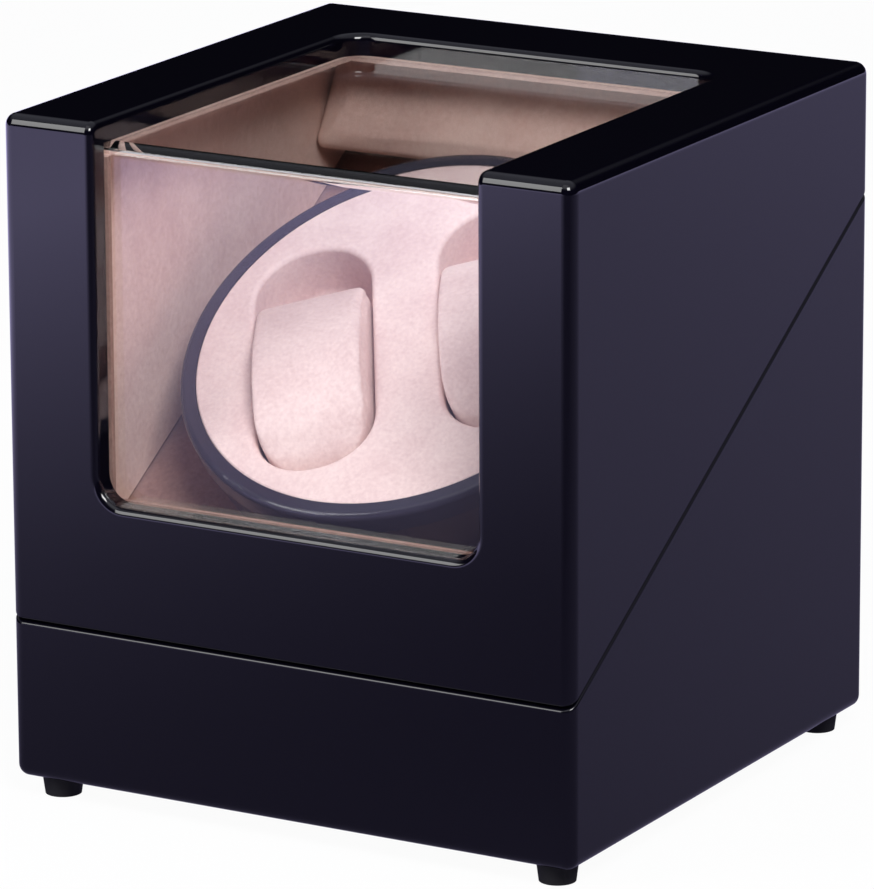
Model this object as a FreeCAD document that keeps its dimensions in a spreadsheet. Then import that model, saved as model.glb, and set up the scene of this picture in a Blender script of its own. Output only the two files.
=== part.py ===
import FreeCAD, Part
import Sketcher
import math
import os
import re

# Watch winder box: a lacquered case cut by a sloping seam, a hinged lid with a bent clear window, and a
# motor-driven tilted turntable with two padded watch wells. Millimetres, +Z up, front towards -Y, origin
# on the floor under the middle of the case and its hinge knuckles.

SIZES = {
    # case
    "width": 180.0,
    "depth": 177.0,
    "height": 192.0,
    "edge_radius": 3.5,
    "case_wall": 11.0,
    "seam_front": 46.1,
    "seam_back": 154.7,
    "seam_gap": 0.6,
    "seam_round": 0.7,
    "bottom_board": 6.0,
    "bottom_ledge": 5.0,
    "overcut": 1.0,
    # feet
    "foot_height": 6.0,
    "foot_top_radius": 6.0,
    "foot_base_radius": 5.2,
    "foot_inset": 10.0,
    "foot_screw_bite": 8.0,
    "head_room": 0.3,
    # window and its bent pane
    "pane_recess": 6.5,
    "window_half": 60.5,
    "window_sill": 83.5,
    "window_rail": 36.3,
    "window_corner": 8.0,
    "window_round": 2.2,
    "pane_sheet": 3.0,
    "pane_overlap": 8.0,
    "pane_bend": 4.0,
    "pane_inner": 1.0,
    # linings
    "lining_board": 4.5,
    "side_lining": 2.0,
    "pad_top": 7.0,
    "pad_low": 23.0,
    "pad_round": 3.0,
    "pad_lift": 2.5,
    "deck_drop": 1.0,
    "deck_skin": 1.2,
    "deck_board": 6.0,
    "deck_bore_gap": 0.5,
    "bumper_length": 8.0,
    "bumper_breadth": 5.0,
    "bumper_inset": 20.0,
    # turntable, placed up the slope of the seam and raised square to it
    "rotor_run": 99.6,
    "rotor_rise": 31.1,
    "rotor_lean": 3.45,
    "rotor_turn": 26.5,
    "face_radius": 62.3,
    "face_sheet": 2.0,
    "face_ledge": 2.1,
    "rim_width": 5.0,
    "rim_round": 2.0,
    "rim_skirt": 2.0,
    "drum_depth": 26.0,
    "drum_floor": 2.5,
    "drum_taper": 3.5,
    "drum_round": 4.0,
    "hub_radius": 7.5,
    "hub_top": 9.0,
    "well_width": 34.6,
    "well_length": 85.0,
    "well_offset": 27.3,
    "well_corner": 16.5,
    "well_depth": 20.0,
    "well_sheet": 1.8,
    "well_round": 1.5,
    "pillow_width": 33.2,
    "pillow_length": 66.0,
    "pillow_crown": 8.5,
    "pillow_round": 5.0,
    "pillow_waist": 0.6,
    "pillow_droop": 8.5,
    "pillow_end_drop": 2.0,
    "pillow_end_gap": 0.6,
    "soft_gap": 0.4,
    # spindle and its bearing
    "spindle_radius": 4.0,
    "stub_radius": 3.0,
    "collar_radius": 7.0,
    "collar_height": 2.4,
    "spindle_step": 0.3,
    "spindle_tail": 2.5,
    "hub_screw_reach": 8.0,
    "hub_screw_room": 0.5,
    "hub_screw_rim": 2.0,
    "running_gap": 0.05,
    "thrust_gap": 0.1,
    "bush_wall": 2.0,
    "bush_length": 14.0,
    "bush_flange": 1.5,
    "bush_flange_radius": 8.5,
    "block_boss": 10.0,
    "block_radius": 22.0,
    "block_depth": 46.0,
    "block_screw_inset": 6.0,
    "block_screw_stop": 4.0,
    # drive
    "gear_module": 1.0,
    "gear_teeth": 48,
    "pinion_teeth": 12,
    "gear_width": 8.0,
    "gear_top": 49.0,
    "backlash": 0.16,
    "clip_width": 2.5,
    "clip_sheet": 1.0,
    "plate_depth": 61.0,
    "plate_sheet": 3.0,
    "plate_length": 104.0,
    "plate_breadth": 66.0,
    "plate_shift": 10.0,
    "pillar_inset": 6.0,
    "pillar_radius": 4.0,
    "pillar_screw_stop": 5.0,
    "motor_radius": 12.0,
    "motor_length": 38.0,
    "motor_tail_length": 3.0,
    "motor_boss_wall": 3.0,
    "motor_shaft_radius": 2.0,
    "motor_shaft_depth": 10.0,
    "motor_shaft_tail": 1.0,
    "motor_screw_offset": 8.5,
    "motor_screw_bite": 5.0,
    # hinges
    "hinge_length": 36.0,
    "hinge_leaf": 16.0,
    "hinge_sheet": 1.2,
    "hinge_spread": 50.0,
    "knuckle_radius": 2.5,
    "knuckle_middle": 14.0,
    "pin_radius": 1.2,
    "knuckle_space": 0.4,
    "leaf_clear": 0.6,
    "web_lap": 0.5,
    "leaf_screw_end": 6.0,
    "leaf_screw_shift": 1.5,
    "leaf_head_cut": 0.5,
    "wood_bite": 7.0,
    # controls in the back wall
    "panel_width": 68.0,
    "panel_height": 28.0,
    "panel_sheet": 1.5,
    "panel_rise": 34.0,
    "panel_screw_inset": 3.5,
    "panel_opening_width": 54.0,
    "panel_opening_height": 18.0,
    "switch_depth": 9.0,
    "switch_side": 12.0,
    "switch_pitch": 18.0,
    "switch_neck": 3.4,
    "knob_radius": 6.5,
    "knob_height": 2.8,
    "knob_gap": 0.3,
    "knob_stem": 1.5,
    "stem_stop": 3.0,
    "stem_play": 1.0,
    "mark_half": 0.5,
    "mark_depth": 0.6,
    "mark_start": 1.5,
    "button_width": 8.0,
    "button_height": 6.0,
    "button_travel": 1.2,
    "button_proud": 0.6,
    "button_edge": 0.5,
    "button_root": 1.5,
    "button_room": 0.8,
    "button_guide_gap": 0.3,
    "jack_radius": 3.9,
    "jack_bore": 2.8,
    "jack_rim": 0.5,
    "jack_end": 1.5,
    "jack_pin": 1.0,
    "board_sheet": 1.6,
    "board_gap": 0.5,
    # fasteners and wiring
    "screw_radius": 1.5,
    "screw_head": 2.75,
    "recess_arm": 1.3,
    "recess_half": 0.3,
    "recess_depth": 0.7,
    "head_height": 1.6,
    "fit_gap": 0.02,
    "wire_radius": 1.3,
    "lead_run": 9.0,
}

doc = FreeCAD.newDocument("WatchWinder")
sheet = doc.addObject("Spreadsheet::Sheet", "Sizes")
for row, (word, amount) in enumerate(SIZES.items(), 1):
    sheet.set(f"A{row}", word)
    sheet.set(f"B{row}", str(amount))
    sheet.setAlias(f"B{row}", word)
doc.recompute()

WORDS = re.compile(r"\b(" + "|".join(SIZES) + r")\b")
NODES = []


def sized(text):
    """Expression with each size word pointing at its cell."""
    return WORDS.sub(r"Sizes.\1", str(text))


def number(text):
    """What an expression of size words comes to, as a plain number."""
    amount = sheet.evalExpression(sized(text))
    return float(getattr(amount, "Value", amount))


# Places that many pieces share, as expressions.
SEAM_ANGLE = "atan2(seam_back - seam_front; depth)"
FRONT = "(-(depth / 2) - knuckle_radius)"
BACK = "(depth / 2 - knuckle_radius)"
FLOOR = "foot_height"
TOP = "(foot_height + height)"
SIDE = "(width / 2)"
INNER = "(width / 2 - case_wall)"
HINGE_Y = f"({BACK} + knuckle_radius)"
HINGE_Z = "(foot_height + seam_back)"
WINDOW_BACK = f"({BACK} - window_rail)"
LINING_IN = "(pane_recess + lining_board)"
ROTOR_Y = f"({FRONT} + rotor_run * cos({SEAM_ANGLE}) - rotor_rise * sin({SEAM_ANGLE}))"
ROTOR_Z = f"(foot_height + seam_front + rotor_run * sin({SEAM_ANGLE}) + rotor_rise * cos({SEAM_ANGLE}))"
ROTOR_TILT = f"({SEAM_ANGLE} + rotor_lean * 1 deg)"
CENTRES = "(gear_module * (gear_teeth + pinion_teeth) / 2)"
BORE = "(face_radius + running_gap - face_ledge)"
PANEL_Z = "(foot_height + panel_rise)"


def frame(x, y, z, axis="1; 0; 0", angle="0"):
    """Placement expression: a turn about an axis, then a move."""
    turn = f"create(<<rotation>>; create(<<vector>>; {axis}); {angle})"
    return f"create(<<placement>>; create(<<vector>>; {x}; {y}; {z}); {turn})"


def at(item, placement):
    """Binds an object's place to a placement expression."""
    item.setExpression("Placement", sized(placement))
    return item


ROTOR = frame("0", ROTOR_Y, ROTOR_Z, angle=ROTOR_TILT)
ROTOR_TURNED = ROTOR + " * " + frame("0", "0", "0", "0; 0; 1", "rotor_turn")
SEAM = frame("0", FRONT, "foot_height + seam_front", angle=SEAM_ANGLE)


def block(name, low, high, base=None):
    """Box between two corners, in the frame of a placement expression."""
    box = doc.addObject("Part::Box", name)
    for side, start, end in zip(("Length", "Width", "Height"), low, high):
        box.setExpression(side, sized(f"({end}) - ({start})"))
    corner = frame(*low)
    return at(box, f"{base} * {corner}" if base else corner)


def rod(name, radius, length, place):
    """Cylinder along the Z axis of a placement expression."""
    cylinder = doc.addObject("Part::Cylinder", name)
    cylinder.setExpression("Radius", sized(radius))
    cylinder.setExpression("Height", sized(length))
    return at(cylinder, place)


def fuse(name, *pieces):
    """One solid from several, or a group of solids that stand apart."""
    if len(pieces) == 1:
        return pieces[0]
    result = doc.addObject("Part::MultiFuse", name)
    result.Shapes = list(pieces)
    return result


def cut(name, base, *tools):
    """Base with every tool taken out of it."""
    result = doc.addObject("Part::Cut", name)
    result.Base = base
    result.Tool = fuse(name + "_tools", *tools)
    return result


def rounded(name, base, radius, test):
    """Base with the edges rounded whose points all pass a test."""
    doc.recompute()
    result = doc.addObject("Part::Fillet", name)
    result.Base = base
    size = number(radius)
    picked = []
    for index, edge in enumerate(base.Shape.Edges, 1):
        if not edge.Degenerated and all(test(point) for point in edge.discretize(5)):
            picked.append((index, size, size))
    if not picked:
        raise ValueError(f"{name}: no edge to round")
    result.Edges = picked
    return result


def node(item, name):
    """Names a finished piece for its file."""
    item.Label = name
    NODES.append(item)
    return item


def new_body(name):
    """Empty body with its Label set."""
    body = doc.addObject("PartDesign::Body", name + "_body")
    return node(body, name)


def plane(body, role):
    """One of a body's own origin planes."""
    return next(item for item in body.Origin.OriginFeatures if item.Role == role)


def outline(body, role, points):
    """Closed sketch of straight sides whose corners are bound to the sheet."""
    sketch = body.newObject("Sketcher::SketchObject", body.Name + "_outline")
    sketch.AttachmentSupport = [(plane(body, role), "")]
    sketch.MapMode = "FlatFace"
    corners = [FreeCAD.Vector(number(x), number(y), 0) for x, y in points]
    for start, end in zip(corners, corners[1:] + corners[:1]):
        sketch.addGeometry(Part.LineSegment(start, end))
    for side in range(len(points)):
        following = (side + 1) % len(points)
        sketch.addConstraint(Sketcher.Constraint("Coincident", side, 2, following, 1))
    for side, corner in enumerate(points):
        for kind, axis, text in zip(("DistanceX", "DistanceY"), (-2, -1), corner):
            if text == "0":
                sketch.addConstraint(Sketcher.Constraint("PointOnObject", side, 1, axis))
                continue
            mark = sketch.addConstraint(Sketcher.Constraint(kind, -1, 1, side, 1, number(text)))
            sketch.setExpression(f"Constraints[{mark}]", sized(text))
    return sketch


def turned(name, points, place):
    """Body turned about its own Z axis from an outline of radius and height."""
    body = new_body(name)
    profile = outline(body, "XZ_Plane", points)
    feature = body.newObject("PartDesign::Revolution", body.Name + "_turn")
    feature.Profile = profile
    feature.ReferenceAxis = (profile, ["V_Axis"])
    feature.Angle = 360
    at(body, place)
    return body


def body_round(body, radius, test):
    """Rounds a body's edges whose points, in its own frame, pass a test."""
    doc.recompute()
    base = body.Tip
    names = []
    for index, edge in enumerate(base.Shape.Edges, 1):
        if not edge.Degenerated and all(test(point) for point in edge.discretize(5)):
            names.append(f"Edge{index}")
    if not names:
        raise ValueError(f"{body.Label}: no edge to round")
    feature = body.newObject("PartDesign::Fillet", body.Name + "_round")
    feature.Base = (base, names)
    feature.setExpression("Radius", sized(radius))
    return feature


def near(first, second, slack=1e-3):
    """Whether two numbers are the same place."""
    return abs(first - second) < slack


def facing_down(x, y, z):
    """Frame at a point with its Z axis pointing down."""
    return frame(x, y, z, "1; 0; 0", "180")


def facing_back(x, y, z):
    """Frame at a point with its Z axis pointing backwards."""
    return frame(x, y, z, "1; 0; 0", "-90")


RECESS_ARMS = (("slot", "recess_arm", "recess_half"), ("cross", "recess_half", "recess_arm"))


def screws(name, places, reach, head="screw_head", shank="screw_radius"):
    """Group of like screws with cross recesses: heads seat at the places, shanks run against their Z axis."""
    pieces = []
    for index, place in enumerate(places, 1):
        cap = rod(f"{name}_head_{index}", head, "head_height", place)
        stem_place = f"{place} * " + frame("0", "0", f"-({reach})")
        stem = rod(f"{name}_stem_{index}", shank, f"{reach}", stem_place)
        screw = fuse(f"{name}_{index}", cap, stem)
        arms = []
        for word, long, wide in RECESS_ARMS:
            low = (f"-{long}", f"-{wide}", "head_height - recess_depth")
            arms.append(block(f"{name}_{word}_{index}", low, (long, wide, "head_height + overcut"), place))
        pieces.append(cut(f"{name}_recess_{index}", screw, *arms))
    group = doc.addObject("Part::Compound", name + "_group")
    group.Links = pieces
    return node(group, name)


def screw_holes(name, places, reach, shank="screw_radius"):
    """Holes that screws of the same places and reach run in."""
    pieces = []
    for index, place in enumerate(places, 1):
        start = f"{place} * " + frame("0", "0", f"-({reach}) - fit_gap")
        depth = f"{reach} + 2 * fit_gap"
        pieces.append(rod(f"{name}_hole_{index}", f"{shank} + fit_gap", depth, start))
    return fuse(name + "_holes", *pieces)


# Places of the fasteners.
CORNERS = [(sx, sy) for sx in (-1, 1) for sy in (-1, 1)]
FOOT_X = f"({SIDE} - foot_inset)"
FOOT_Y = {-1: f"{FRONT} + foot_inset", 1: f"{BACK} - foot_inset"}
FOOT_SPOTS = [(f"{sx} * {FOOT_X}", FOOT_Y[sy]) for sx, sy in CORNERS]
FOOT_RECESS = "(foot_height / 2)"
FOOT_SCREW_REACH = "(foot_height / 2 + bottom_board + foot_screw_bite)"
FOOT_SCREWS = [facing_down(x, y, FOOT_RECESS) for x, y in FOOT_SPOTS]
HINGE_CENTRES = ["(-hinge_spread)", "hinge_spread"]
LEAF_SCREW_X = "(hinge_length / 2 - leaf_screw_end)"
LEAF_SCREW_Y = f"{BACK} + hinge_sheet"
LEAF_SCREW_Z = "(hinge_leaf / 2 + leaf_screw_shift)"
LEAF_SCREW_SPOTS = [f"{centre} + {hand} * {LEAF_SCREW_X}" for centre in HINGE_CENTRES for hand in (-1, 1)]
LEAF_SCREWS = {
    side: [facing_back(x, LEAF_SCREW_Y, f"{HINGE_Z} + {side} * {LEAF_SCREW_Z}") for x in LEAF_SCREW_SPOTS]
    for side in (-1, 1)
}
LEAF_SCREW_REACH = "(hinge_sheet + wood_bite)"
PANEL_SCREWS = [
    facing_back(
        f"{sx} * (panel_width / 2 - panel_screw_inset)",
        f"{BACK} + panel_sheet",
        f"{PANEL_Z} + {sz} * (panel_height / 2 - panel_screw_inset)",
    )
    for sx, sz in CORNERS
]
PANEL_SCREW_REACH = "(panel_sheet + wood_bite)"
PILLAR_X = "(plate_length / 2 - pillar_inset)"
PILLAR_Y = "(plate_breadth / 2 - pillar_inset)"
PILLAR_SPOTS = [(f"plate_shift + {sx} * {PILLAR_X}", f"{sy} * {PILLAR_Y}") for sx, sy in CORNERS]
PLATE_UNDER = "(plate_depth + plate_sheet)"
PLATE_SCREWS = [f"{ROTOR} * " + facing_down(x, y, f"-{PLATE_UNDER}") for x, y in PILLAR_SPOTS]
PLATE_SCREW_REACH = "(plate_depth + plate_sheet - rotor_rise - deck_drop - deck_skin - pillar_screw_stop)"
BLOCK_SCREW = facing_down("0", "block_radius - block_screw_inset", "-block_depth")
BLOCK_SCREWS = [
    f"{ROTOR} * " + frame("0", "0", "0", "0; 0; 1", f"{turn}") + f" * {BLOCK_SCREW}" for turn in (0, 120, 240)
]
BLOCK_SCREW_REACH = "(block_depth - rotor_rise - deck_drop - deck_skin - block_screw_stop)"
MOTOR_SCREWS = [
    f"{ROTOR} * " + frame(f"{CENTRES} + {hand} * motor_screw_offset", "0", "-plate_depth") for hand in (-1, 1)
]
MOTOR_SCREW_REACH = "(plate_sheet + motor_screw_bite)"


# Half spaces on either side of the seam, and the space under the deck.
def beyond_seam(name, offset, upwards):
    """Large block above or below a plane parallel to the seam."""
    reach = "(width + depth + height)"
    low, high = (offset, reach) if upwards else (f"-{reach}", offset)
    return block(name, (f"-{reach}", f"-{reach}", low), (reach, reach, high), SEAM)


above_base = beyond_seam("above_base", "-(seam_gap / 2)", True)
below_lid = beyond_seam("below_lid", "seam_gap / 2", False)
DECK_UNDER = "(-(deck_drop + deck_skin + deck_board))"

# Outer block of the case, shared by base and lid.
case_box = block("case_box", (f"-{SIDE}", FRONT, FLOOR), (SIDE, BACK, TOP))
case_block = rounded("case_block", case_box, "edge_radius", lambda point: True)


def on_case_skin(point):
    """Whether a point of a cut case is on the outer block's skin."""
    return case_block.Shape.Shells[0].distToShape(Part.Vertex(point))[0] < 1e-3


def on_seam(point, offset):
    """Whether a point is on a plane parallel to the seam."""
    angle = math.radians(number(SEAM_ANGLE))
    rise = point.z - number("foot_height + seam_front")
    return near(rise * math.cos(angle) - (point.y - number(FRONT)) * math.sin(angle), number(offset))


# Base of the case: four walls with a ledge for the bottom board and an opening for the controls.
INNER_FRONT = f"({FRONT} + case_wall)"
INNER_BACK = f"({BACK} - case_wall)"
LEDGE = "(case_wall - bottom_ledge)"
base_hollow = block("base_hollow", (f"-{INNER}", INNER_FRONT, f"{FLOOR} - overcut"), (INNER, INNER_BACK, TOP))
base_rebate = block(
    "base_rebate",
    (f"-({SIDE} - {LEDGE})", f"{FRONT} + {LEDGE}", f"{FLOOR} - overcut"),
    (f"{SIDE} - {LEDGE}", f"{BACK} - {LEDGE}", f"{FLOOR} + bottom_board"),
)
panel_opening = block(
    "panel_opening",
    ("-panel_opening_width / 2", f"{INNER_BACK} - overcut", f"{PANEL_Z} - panel_opening_height / 2"),
    ("panel_opening_width / 2", f"{BACK} + overcut", f"{PANEL_Z} + panel_opening_height / 2"),
)
base_walls = cut("base_walls", case_block, above_base)
base_rim = rounded(
    "base_rim",
    base_walls,
    "seam_round",
    lambda point: on_seam(point, "-(seam_gap / 2)"),
)
node(
    cut(
        "base_cut",
        base_rim,
        base_hollow,
        base_rebate,
        panel_opening,
        screw_holes("base_foot", FOOT_SCREWS, FOOT_SCREW_REACH),
        screw_holes("base_leaf", LEAF_SCREWS[-1], LEAF_SCREW_REACH),
        screw_holes("base_panel", PANEL_SCREWS, PANEL_SCREW_REACH),
    ),
    "base_carcass",
)

# Bottom board in its ledge, held by the foot screws.
bottom_blank = block(
    "bottom_blank",
    (f"-({SIDE} - {LEDGE} - fit_gap)", f"{FRONT} + {LEDGE} + fit_gap", FLOOR),
    (f"{SIDE} - {LEDGE} - fit_gap", f"{BACK} - {LEDGE} - fit_gap", f"{FLOOR} + bottom_board"),
)
node(
    cut("bottom_cut", bottom_blank, screw_holes("bottom_foot", FOOT_SCREWS, FOOT_SCREW_REACH)),
    "bottom_board",
)

# Tapered rubber feet, each with a recess for its screw.
feet = []
for index, (x, y) in enumerate(FOOT_SPOTS, 1):
    cone = doc.addObject("Part::Cone", f"foot_cone_{index}")
    cone.setExpression("Radius1", sized("foot_base_radius"))
    cone.setExpression("Radius2", sized("foot_top_radius"))
    cone.setExpression("Height", sized("foot_height"))
    at(cone, frame(x, y, "0"))
    under = frame(x, y, "-overcut")
    recess = rod(f"foot_recess_{index}", "screw_head + head_room", f"{FOOT_RECESS} + overcut", under)
    hole = rod(f"foot_hole_{index}", "screw_radius + fit_gap", "foot_height + 2 * overcut", under)
    feet.append(cut(f"foot_{index}", cone, recess, hole))
foot_group = doc.addObject("Part::Compound", "foot_group")
foot_group.Links = feet
node(foot_group, "feet")
screws("foot_screws", FOOT_SCREWS, FOOT_SCREW_REACH)

# Sloping deck board and its suede skin, between the base walls.
deck_space = block(
    "deck_space",
    (f"-({INNER} - fit_gap)", f"{INNER_FRONT} + fit_gap", FLOOR),
    (f"{INNER} - fit_gap", f"{INNER_BACK} - fit_gap", TOP),
)
DECK_HOLE = "(block_boss + deck_bore_gap)"


def deck_layer(name, low, high, holes):
    """Sheet parallel to the seam, trimmed by the walls and bored for the spindle housing."""
    reach = "(width + depth + height)"
    slab = block(name + "_slab", (f"-{SIDE}", "-case_wall", low), (SIDE, reach, high), SEAM)
    sheet_piece = doc.addObject("Part::Common", name + "_sheet")
    sheet_piece.Base = slab
    sheet_piece.Tool = deck_space
    bore = rod(name + "_bore", DECK_HOLE, reach, f"{ROTOR} * " + frame("0", "0", f"-{reach}"))
    return node(cut(name + "_cut", sheet_piece, bore, *holes), name)


SKIN_UNDER = "(-(deck_drop + deck_skin))"
deck_layer("deck_skin", SKIN_UNDER, "-deck_drop", [])
deck_layer(
    "deck_board",
    DECK_UNDER,
    SKIN_UNDER,
    [
        screw_holes("deck_plate", PLATE_SCREWS, PLATE_SCREW_REACH),
        screw_holes("deck_block", BLOCK_SCREWS, BLOCK_SCREW_REACH),
    ],
)

# Lid shell: hollow from below, with one opening that runs up the front and over the top.
lid_hollow = block(
    "lid_hollow",
    (f"-{INNER}", f"{FRONT} + pane_recess", f"{FLOOR} - overcut"),
    (INNER, INNER_BACK, f"{TOP} - pane_recess"),
)
front_gap_box = block(
    "front_gap_box",
    ("-window_half", f"{FRONT} - overcut", "foot_height + window_sill"),
    ("window_half", f"{FRONT} + pane_recess + overcut", f"{TOP} + overcut"),
)
front_gap = rounded(
    "front_gap",
    front_gap_box,
    "window_corner",
    lambda point: near(point.z, number("foot_height + window_sill"))
    and near(abs(point.x), number("window_half")),
)
top_gap_box = block(
    "top_gap_box",
    ("-window_half", f"{FRONT} - overcut", f"{TOP} - pane_recess - overcut"),
    ("window_half", WINDOW_BACK, f"{TOP} + overcut"),
)
top_gap = rounded(
    "top_gap",
    top_gap_box,
    "window_corner",
    lambda point: near(point.y, number(WINDOW_BACK)) and near(abs(point.x), number("window_half")),
)
lid_upper = cut("lid_upper", case_block, below_lid)
lid_rim = rounded("lid_rim", lid_upper, "seam_round", lambda point: on_seam(point, "seam_gap / 2"))
lid_open = cut("lid_open", lid_rim, lid_hollow, front_gap, top_gap)


def on_window_rim(point):
    """Whether a point is on the outer edge of the window opening."""
    half = number("window_half") + 1e-3
    sill = number("foot_height + window_sill") - 1e-3
    rear = number(WINDOW_BACK) + 1e-3
    inside = abs(point.x) < half and point.z > sill and point.y < rear
    return inside and on_case_skin(point)


lid_framed = rounded("lid_framed", lid_open, "window_round", on_window_rim)
node(
    cut("lid_cut", lid_framed, screw_holes("lid_leaf", LEAF_SCREWS[1], LEAF_SCREW_REACH)),
    "lid_shell",
)

# Clear pane, one sheet bent at the top front edge, seated against the inside of the lid.
PANE_FRONT = f"({FRONT} + pane_recess)"
PANE_TOP = f"({TOP} - pane_recess)"
PANE_LOW = "(foot_height + window_sill - pane_overlap)"
PANE_REAR = f"({WINDOW_BACK} + pane_overlap)"
PANE_HALF = "(window_half + pane_overlap)"
pane = new_body("window_pane")
pane_profile = outline(
    pane,
    "YZ_Plane",
    [
        (PANE_FRONT, PANE_LOW),
        (f"{PANE_FRONT} + pane_sheet", PANE_LOW),
        (f"{PANE_FRONT} + pane_sheet", f"{PANE_TOP} - pane_sheet"),
        (PANE_REAR, f"{PANE_TOP} - pane_sheet"),
        (PANE_REAR, PANE_TOP),
        (PANE_FRONT, PANE_TOP),
    ],
)
pane_pad = pane.newObject("PartDesign::Pad", "pane_pad")
pane_pad.Profile = pane_profile
pane_pad.Midplane = True
pane_pad.setExpression("Length", sized(f"2 * {PANE_HALF}"))
body_round(
    pane,
    "pane_bend",
    lambda point: near(point.y, number(PANE_FRONT)) and near(point.z, number(PANE_TOP)),
)
body_round(
    pane,
    "pane_inner",
    lambda point: near(point.y, number(f"{PANE_FRONT} + pane_sheet"))
    and near(point.z, number(f"{PANE_TOP} - pane_sheet")),
)

# Lining boards of the lid, rebated for the pane and open where the window is.
rebate_front = block(
    "rebate_front",
    (f"-({PANE_HALF} + fit_gap)", f"{PANE_FRONT} - overcut", f"{PANE_LOW} - fit_gap"),
    (f"{PANE_HALF} + fit_gap", f"{PANE_FRONT} + pane_sheet", TOP),
)
rebate_top = block(
    "rebate_top",
    (f"-({PANE_HALF} + fit_gap)", f"{PANE_FRONT} - overcut", f"{PANE_TOP} - pane_sheet"),
    (f"{PANE_HALF} + fit_gap", f"{PANE_REAR} + fit_gap", TOP),
)
rebate_bend = block(
    "rebate_bend",
    (f"-({PANE_HALF} + fit_gap)", f"{PANE_FRONT} - overcut", f"{PANE_TOP} - pane_sheet - pane_inner"),
    (f"{PANE_HALF} + fit_gap", f"{PANE_FRONT} + pane_sheet + pane_inner", TOP),
)
sight_front = block(
    "sight_front",
    ("-window_half", f"{FRONT} - overcut", "foot_height + window_sill"),
    ("window_half", f"{FRONT} + {LINING_IN} + overcut", f"{TOP} + overcut"),
)
sight_top = block(
    "sight_top",
    ("-window_half", f"{FRONT} - overcut", f"{TOP} - {LINING_IN} - overcut"),
    ("window_half", WINDOW_BACK, f"{TOP} + overcut"),
)
pane_space = fuse("pane_space", rebate_front, rebate_top, rebate_bend, sight_front, sight_top)
front_blank = block(
    "front_blank",
    (f"-({INNER} - fit_gap)", PANE_FRONT, FLOOR),
    (f"{INNER} - fit_gap", f"{FRONT} + {LINING_IN}", f"{TOP} - {LINING_IN}"),
)
node(cut("front_lining_cut", front_blank, pane_space, below_lid), "front_lining")
top_blank = block(
    "top_blank",
    (f"-({INNER} - fit_gap)", PANE_FRONT, f"{TOP} - {LINING_IN}"),
    (f"{INNER} - fit_gap", f"{INNER_BACK} - fit_gap", PANE_TOP),
)
node(cut("top_lining_cut", top_blank, pane_space), "top_lining")
for hand, word in ((-1, "left"), (1, "right")):
    faces = sorted((f"{hand} * ({INNER} - fit_gap)", f"{hand} * ({INNER} - side_lining)"), key=number)
    side_blank = block(
        f"{word}_blank",
        (faces[0], f"{FRONT} + {LINING_IN}", FLOOR),
        (faces[1], f"{INNER_BACK} - fit_gap", f"{TOP} - {LINING_IN}"),
    )
    node(cut(f"{word}_lining_cut", side_blank, below_lid), f"{word}_lining")

# Padded panel on the inside of the lid's back wall, fuller towards its lower edge.
PAD_HALF = f"({INNER} - side_lining - fit_gap)"
PAD_BACK = f"({INNER_BACK} - fit_gap)"
PAD_UNDER = "(foot_height + seam_back - case_wall / 2 + pad_lift)"
PAD_ROOF = f"({TOP} - {LINING_IN})"
PAD_LEAN = f"atan2(pad_low - pad_top; {PAD_ROOF} - {PAD_UNDER})"
pad_box = block(
    "pad_box",
    (f"-{PAD_HALF}", f"{PAD_BACK} - pad_low", PAD_UNDER),
    (PAD_HALF, PAD_BACK, PAD_ROOF),
)
pad_slope = block(
    "pad_slope",
    (f"-{SIDE}", f"-({SIDE})", f"-{TOP}"),
    (SIDE, "0", TOP),
    frame("0", f"{PAD_BACK} - pad_top", PAD_ROOF, angle=f"-({PAD_LEAN})"),
)
pad_wedge = cut("pad_wedge", pad_box, pad_slope)


def on_pad_front(point):
    """Whether a point is on the sloping front of the padded panel."""
    share = (number(PAD_ROOF) - point.z) / number(f"{PAD_ROOF} - {PAD_UNDER}")
    return near(point.y, number(f"{PAD_BACK} - pad_top") - share * number("pad_low - pad_top"))


pad_front = rounded("pad_front", pad_wedge, "pad_round", on_pad_front)
node(cut("back_lining_cut", pad_front, below_lid), "back_lining")

# Thin bumpers on the front rim of the base, which the closed lid rests on.
bumpers = []
for hand in (-1, 1):
    middle = f"{hand} * ({SIDE} - bumper_inset)"
    bumpers.append(
        block(
            f"bumper_{hand + 2}",
            (f"{middle} - bumper_length / 2", "(case_wall - bumper_breadth) / 2", "-seam_gap / 2"),
            (f"{middle} + bumper_length / 2", "(case_wall + bumper_breadth) / 2", "seam_gap / 2"),
            SEAM,
        )
    )
bumper_group = doc.addObject("Part::Compound", "bumper_group")
bumper_group.Links = bumpers
node(bumper_group, "lid_bumpers")

# Turntable drum with a rounded rim, a ledge for the face and a hub for the spindle.
DRUM_RADIUS = "(face_radius + rim_width)"
drum = turned(
    "rotor_drum",
    [
        ("stub_radius + running_gap", "-drum_depth"),
        (f"{DRUM_RADIUS} - drum_taper", "-drum_depth"),
        (DRUM_RADIUS, "-rim_width - rim_skirt"),
        (DRUM_RADIUS, "0"),
        ("face_radius + running_gap", "0"),
        ("face_radius + running_gap", "-face_sheet"),
        (BORE, "-face_sheet"),
        (BORE, "-drum_depth + drum_floor"),
        ("hub_radius", "-drum_depth + drum_floor"),
        ("hub_radius", "-hub_top"),
        ("stub_radius + running_gap", "-hub_top"),
    ],
    ROTOR_TURNED,
)
body_round(
    drum,
    "rim_round",
    lambda point: near(point.z, 0) and near(math.hypot(point.x, point.y), number(DRUM_RADIUS)),
)
body_round(
    drum,
    "drum_round",
    lambda point: near(point.z, -number("drum_depth"))
    and near(math.hypot(point.x, point.y), number(f"{DRUM_RADIUS} - drum_taper")),
)


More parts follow.
